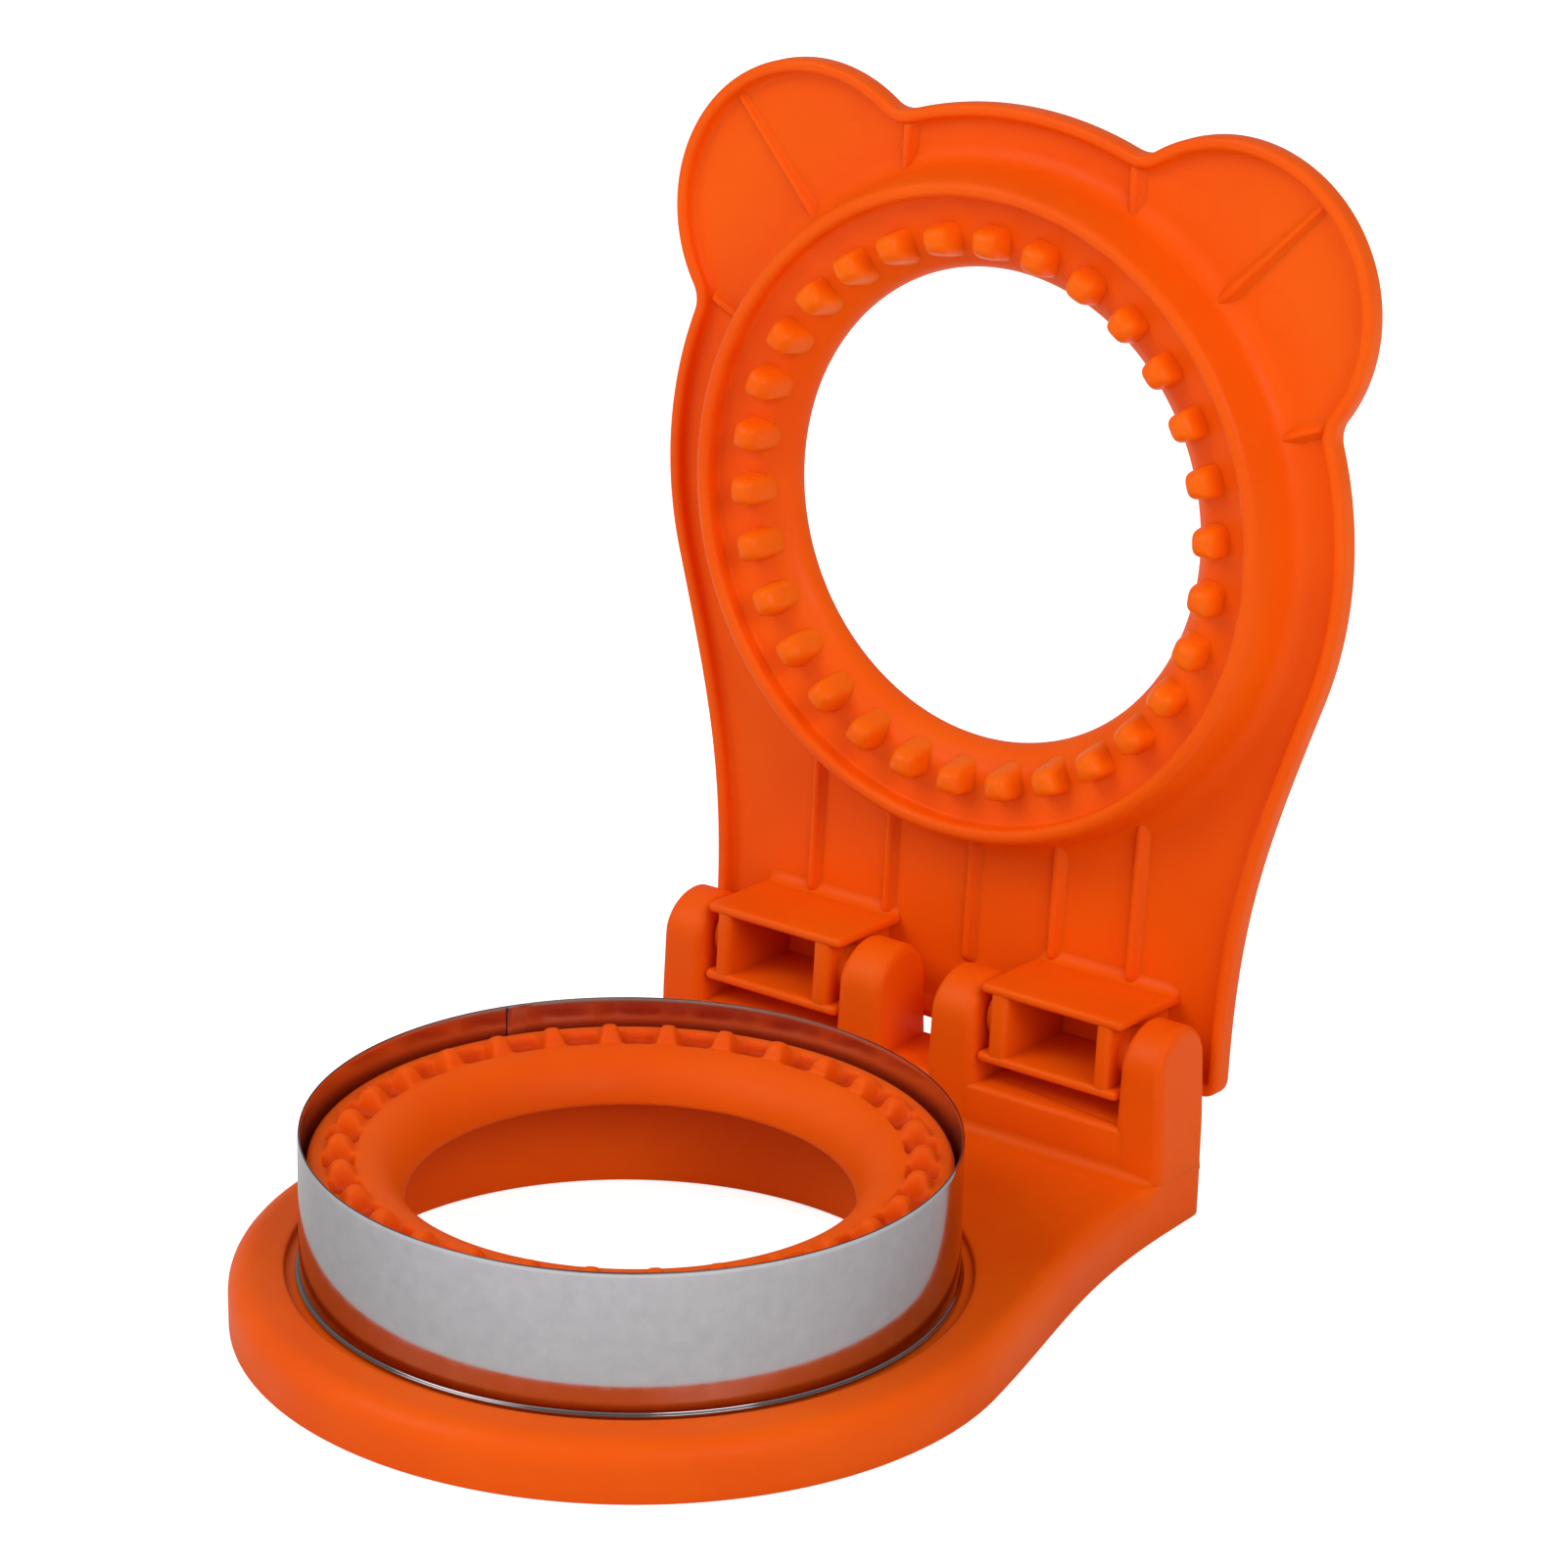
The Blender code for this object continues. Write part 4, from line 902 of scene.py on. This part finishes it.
base_plastic = orange_plastic("base_orange_satin")
seal_plastic = orange_plastic("sealing_orange_satin", gloss=-0.04, grain=1.3)
# Painted shade: the pockets' colour is multiplied darker by their depth, in place of the shade that falls in
# them.
paint_shade(seal_plastic, "depth", (0.74, 0.55, 0.5, 1))
lid_plastic = orange_plastic("lid_orange_satin", gloss=0.03)
# Painted highlight: the bumps' orange is lighter than the lid's, to stand for the light on them.
bump_plastic = orange_plastic("bump_orange_glossy_painted_highlight", gloss=0.16, grain=2.5,
                              deep=(0.93, 0.125, 0.0015), bright=(0.97, 0.155, 0.0025))
print("four plastics, the base's with", len(base_plastic.node_tree.nodes), "nodes")

# %% [markdown]
# ## Ejector marks
#
# Each ear carries faint round marks, where the mould's ejector pins pushed the soft lid out. They are no
# deeper than a hair, so they are drawn as a bump: a narrow ridge at the pin's radius round each mark's
# centre.

# %% Marks on the lid's ears
def ejector_marks(surface, centres, radius=0.0031, width=0.00030):
    """Adds a ring-shaped bump round each centre: a narrow hill in the distance from that centre."""
    tree, shader, normal = reopen(surface, "Normal")
    place = object_place(tree)
    for centre in centres:
        away = calculate(tree, "DISTANCE", place, centre, kind="ShaderNodeVectorMath")
        normal = bump(tree, calculate(tree, "COMPARE", away, radius, width), 0.8, 0.0004, Normal=normal)
    feed_inputs(shader, Normal=normal)


marks = [(sign * x, y, LID_FLOOR_Z) for sign in (-1, 1) for x, y in ((42.5, -36.1), (28.9, -48.4))]
ejector_marks(lid_plastic, (stand_open(np.array(marks)) + [0, SHIFT_Y, 0]) / 1000)
print(len(marks), "ejector marks")

# %% [markdown]
# ## Rolled steel
#
# Sheet steel is rolled, so its finest marks run along the strip. Noise on the object's own coordinates would
# give round spots, so the band carries an attribute instead: how far along the strip each point is, how high,
# and how far from the centre line. Stretching noise along the first gives streaks. Cloudy noise gives the
# dull patches that handling leaves. The band is painted brightest in front and darker at its sides, as a
# painted reflection. Its inside is duller, and painted browner as a reflection of the orange ring. The cut
# edge on top and the strip's end at the lap are dark, and the foot is painted dark as shade.

# %% Steel
STRIP_START_DEG = 149


def along_strip(places):
    """(distance along the strip, height, radius) of each place, in metres, starting under the lap.

    The lap's end is given a height above the cut edge, so that it comes out as dark as that edge.
    """
    x, y, height = places.T
    angle = (np.arctan2(y, x) - math.radians(STRIP_START_DEG)) % math.tau
    strip = np.stack([angle * STEEL_RADIUS, height, np.hypot(x, y)], 1) / 1000
    strip[np.abs(angle - math.radians(LAP_END_DEG - STRIP_START_DEG)) < 0.001, 1] = 0.029
    return strip


def rolled_steel(name, tone, rough):
    """Grey steel with streaks along the strip and cloudy dull patches."""
    surface, tree, shader = fresh_material(name)
    strip = read_attribute(tree, "strip", "Vector")
    stretch = add_node(tree, "ShaderNodeMapping", Vector=strip, Scale=(14, 900, 1))
    streaks = noise(tree, stretch.outputs["Vector"], 1, 4, 0.6)
    clouds = noise(tree, object_place(tree), 420, 5, 0.66)
    dark, light = (tone * 0.86, tone * 0.85, tone * 0.88), (tone, tone * 0.985, tone * 1.01)
    feed_inputs(
        shader,
        Metallic=1,
        Base_Color=two_tones(tree, clouds, 0.25, dark, 0.75, light),
        Roughness=remap(tree, clouds, rough, rough + 0.04),
        Normal=bump(tree, streaks, 0.04, 0.00001),
    )
    return surface


def mark_band(surface, burr=0.02798, foot=0.0084, inner=0.0447, middle=2.75):
    """Adds a band's painted highlight in front, painted brown reflection inside, dark burr and painted foot
    shade.

    The colour is painted darker as cos(distance along the strip / radius - middle) falls from 0.97 to 0.35,
    as its reflection would. The inside is what lies within the inner radius, tinted brown as a painted
    reflection of the orange ring. It's dark above the burr's height, and painted half as dark with shade
    below the foot's.
    """
    tree, shader, colour = reopen(surface, "Base Color")
    split = add_node(tree, "ShaderNodeSeparateXYZ", Vector=read_attribute(tree, "strip", "Vector"))
    along, height, radius = split.outputs
    turned = calculate(tree, "MULTIPLY_ADD", along, 1000 / STEEL_RADIUS, -middle)
    # Painted reflection: the band is painted brightest in front and darker towards its sides.
    painted_side_shade = remap(tree, calculate(tree, "COSINE", turned), 1, 0, 0.35, 0.97)
    colour = mix_colours(tree, painted_side_shade, colour, (0.66, 0.65, 0.66, 1), "MULTIPLY")
    # Painted reflection: the inside is tinted brown as a reflection of the orange ring.
    inside = remap(tree, radius, 1, 0, inner, inner + 0.0002)
    colour = mix_colours(tree, inside, colour, (0.58, 0.45, 0.39, 1))
    over = remap(tree, height, 0, 1, burr, burr + 0.00006)
    # Painted shade: below the foot's height the colour is darkened, in place of the shade in the gap round
    # the foot.
    under = remap(tree, height, 0.55, 0, foot, foot + 0.0004)
    colour = mix_colours(tree, calculate(tree, "MAXIMUM", over, under), colour, (0.15, 0.115, 0.12, 1))
    duller = remap(tree, radius, 0.13, 0, inner, inner + 0.0002)
    roughness = calculate(tree, "ADD", shader.inputs["Roughness"].links[0].from_socket, duller)
    feed_inputs(shader, Base_Color=colour, Roughness=roughness)


band_steel = rolled_steel("rolled_steel", 0.60, 0.08)
mark_band(band_steel)
pin_steel = rolled_steel("pin_steel", 0.55, 0.30)
for name, piece in pieces.items():
    if name.startswith(("cutter_", "pin_")):
        store(piece, "strip", along_strip(vertex_places(piece)))
print("steel nodes:", len(band_steel.node_tree.nodes))

# %% Give each piece its finish
FINISHES = [
    (("base_", "hinge_step", "tower_"), base_plastic, "base_orange"),
    (("sealing_",), seal_plastic, "sealing_ring_orange"),
    (("cutter_",), band_steel, "cutter_steel"),
    (("pin_",), pin_steel, "pin_steel"),
    (("lid_bumps",), bump_plastic, "lid_orange"),
    (("lid_", "left_box", "right_box"), lid_plastic, "lid_orange"),
]
for name, piece in pieces.items():
    surface, slot = next(finish for starts, *finish in FINISHES if name.startswith(starts))
    piece.data.materials.append(surface)
print("finished", len(pieces), "pieces")

# %% [markdown]
# ## A studio
#
# The photograph is a product shot on pure white, so a white floor fills the picture. To the camera it glows,
# so it stays white far from the lamps, and the shadow comes out pale. That glow would wash out the orange, so
# the object sees a fainter one, which starts beyond it and lights its sides from below. Three large, soft
# lamps and a pale sky give the broad highlights.

# %% Floor, sky and lamps
def place_floor(reach=6.0, seen_glow=0.80, outer_glow=0.28):
    """A wide white floor, lit by the lamps and by its own glow.

    The glow is the larger of one that only the camera sees, and one that grows from 70 to 150 mm away.
    """
    mesh = bpy.data.meshes.new("studio_floor")
    corners = [(x * reach, y * reach, 0) for x, y in ((-1, -1), (1, -1), (1, 1), (-1, 1))]
    mesh.from_pydata(corners, [], [(0, 1, 2, 3)])
    floor = new_object("studio_floor", mesh)
    floor.location.z = -0.0001
    surface, tree, shader = fresh_material("studio_white")
    seen = remap(tree, tree.nodes.new("ShaderNodeLightPath").outputs["Is Camera Ray"], 0, seen_glow, 0, 1)
    distance = calculate(tree, "LENGTH", object_place(tree), kind="ShaderNodeVectorMath")
    glow = calculate(tree, "MAXIMUM", seen, remap(tree, distance, 0, outer_glow, 0.07, 0.15))
    feed_inputs(shader, Base_Color=(0.80, 0.80, 0.80, 1), Roughness=0.9, Specular_IOR_Level=0.1)
    feed_inputs(shader, Emission_Color=(1, 1, 1, 1), Emission_Strength=glow)
    floor.data.materials.append(surface)


def area_lamp(name, place, power, aim=(0, 0, 0.06), size=0.8):
    """A square soft lamp that faces the object."""
    light = bpy.data.lights.new(name, "AREA")
    light.size, light.energy = size, power
    lamp = new_object(name, light)
    away = Vector(place) - Vector(aim)
    lamp.matrix_world = Matrix.Translation(place) @ away.to_track_quat("Z", "Y").to_matrix().to_4x4()


place_floor()
sky = bpy.data.worlds.new("pale_sky")
sky.use_nodes = True
feed_inputs(sky.node_tree.nodes["Background"], Color=(1, 1, 1, 1), Strength=0.40)
bpy.context.scene.world = sky
area_lamp("left_lamp", (-0.60, -0.85, 1.05), 7.7)
area_lamp("right_lamp", (1.15, -0.55, 0.90), 8.0)
area_lamp("front_lamp", (0.05, -1.40, 0.56), 0.7)
print("lamps placed")

# %% [markdown]
# ## The camera
#
# The camera was solved from the photograph's round edges: circles of known relative size, seen as ellipses,
# give the direction, distance and lens. It's a long lens, a little above the object and to its right, and
# tilted by about a degree. A camera looks down, so it's tipped up to the elevation, then turned to the
# azimuth.

# %% Camera at the photograph's angle
AZIMUTH, ELEVATION, ROLL = (math.radians(value) for value in (35.583, 20.696, -1.283))
SENSOR_MM, FOCAL_PIXELS, PHOTO_PIXELS = 36, 5444, 1601
CAMERA_PLACE = (0.3979, -0.5226 + SHIFT_Y / 1000, 0.3261)
turned = Matrix.Rotation(AZIMUTH, 4, "Z") @ Matrix.Rotation(math.pi / 2 - ELEVATION, 4, "X")
camera = new_object("photo_camera", bpy.data.cameras.new("photo_camera"))
camera.data.sensor_width, camera.data.lens = SENSOR_MM, SENSOR_MM * FOCAL_PIXELS / PHOTO_PIXELS
camera.data.clip_start, camera.data.clip_end = 0.05, 50
camera.matrix_world = Matrix.Translation(CAMERA_PLACE) @ turned @ Matrix.Rotation(-ROLL, 4, "Z")
bpy.context.scene.camera = camera
bpy.context.scene.view_settings.view_transform = "Standard"
print("lens", round(camera.data.lens, 1), "mm")
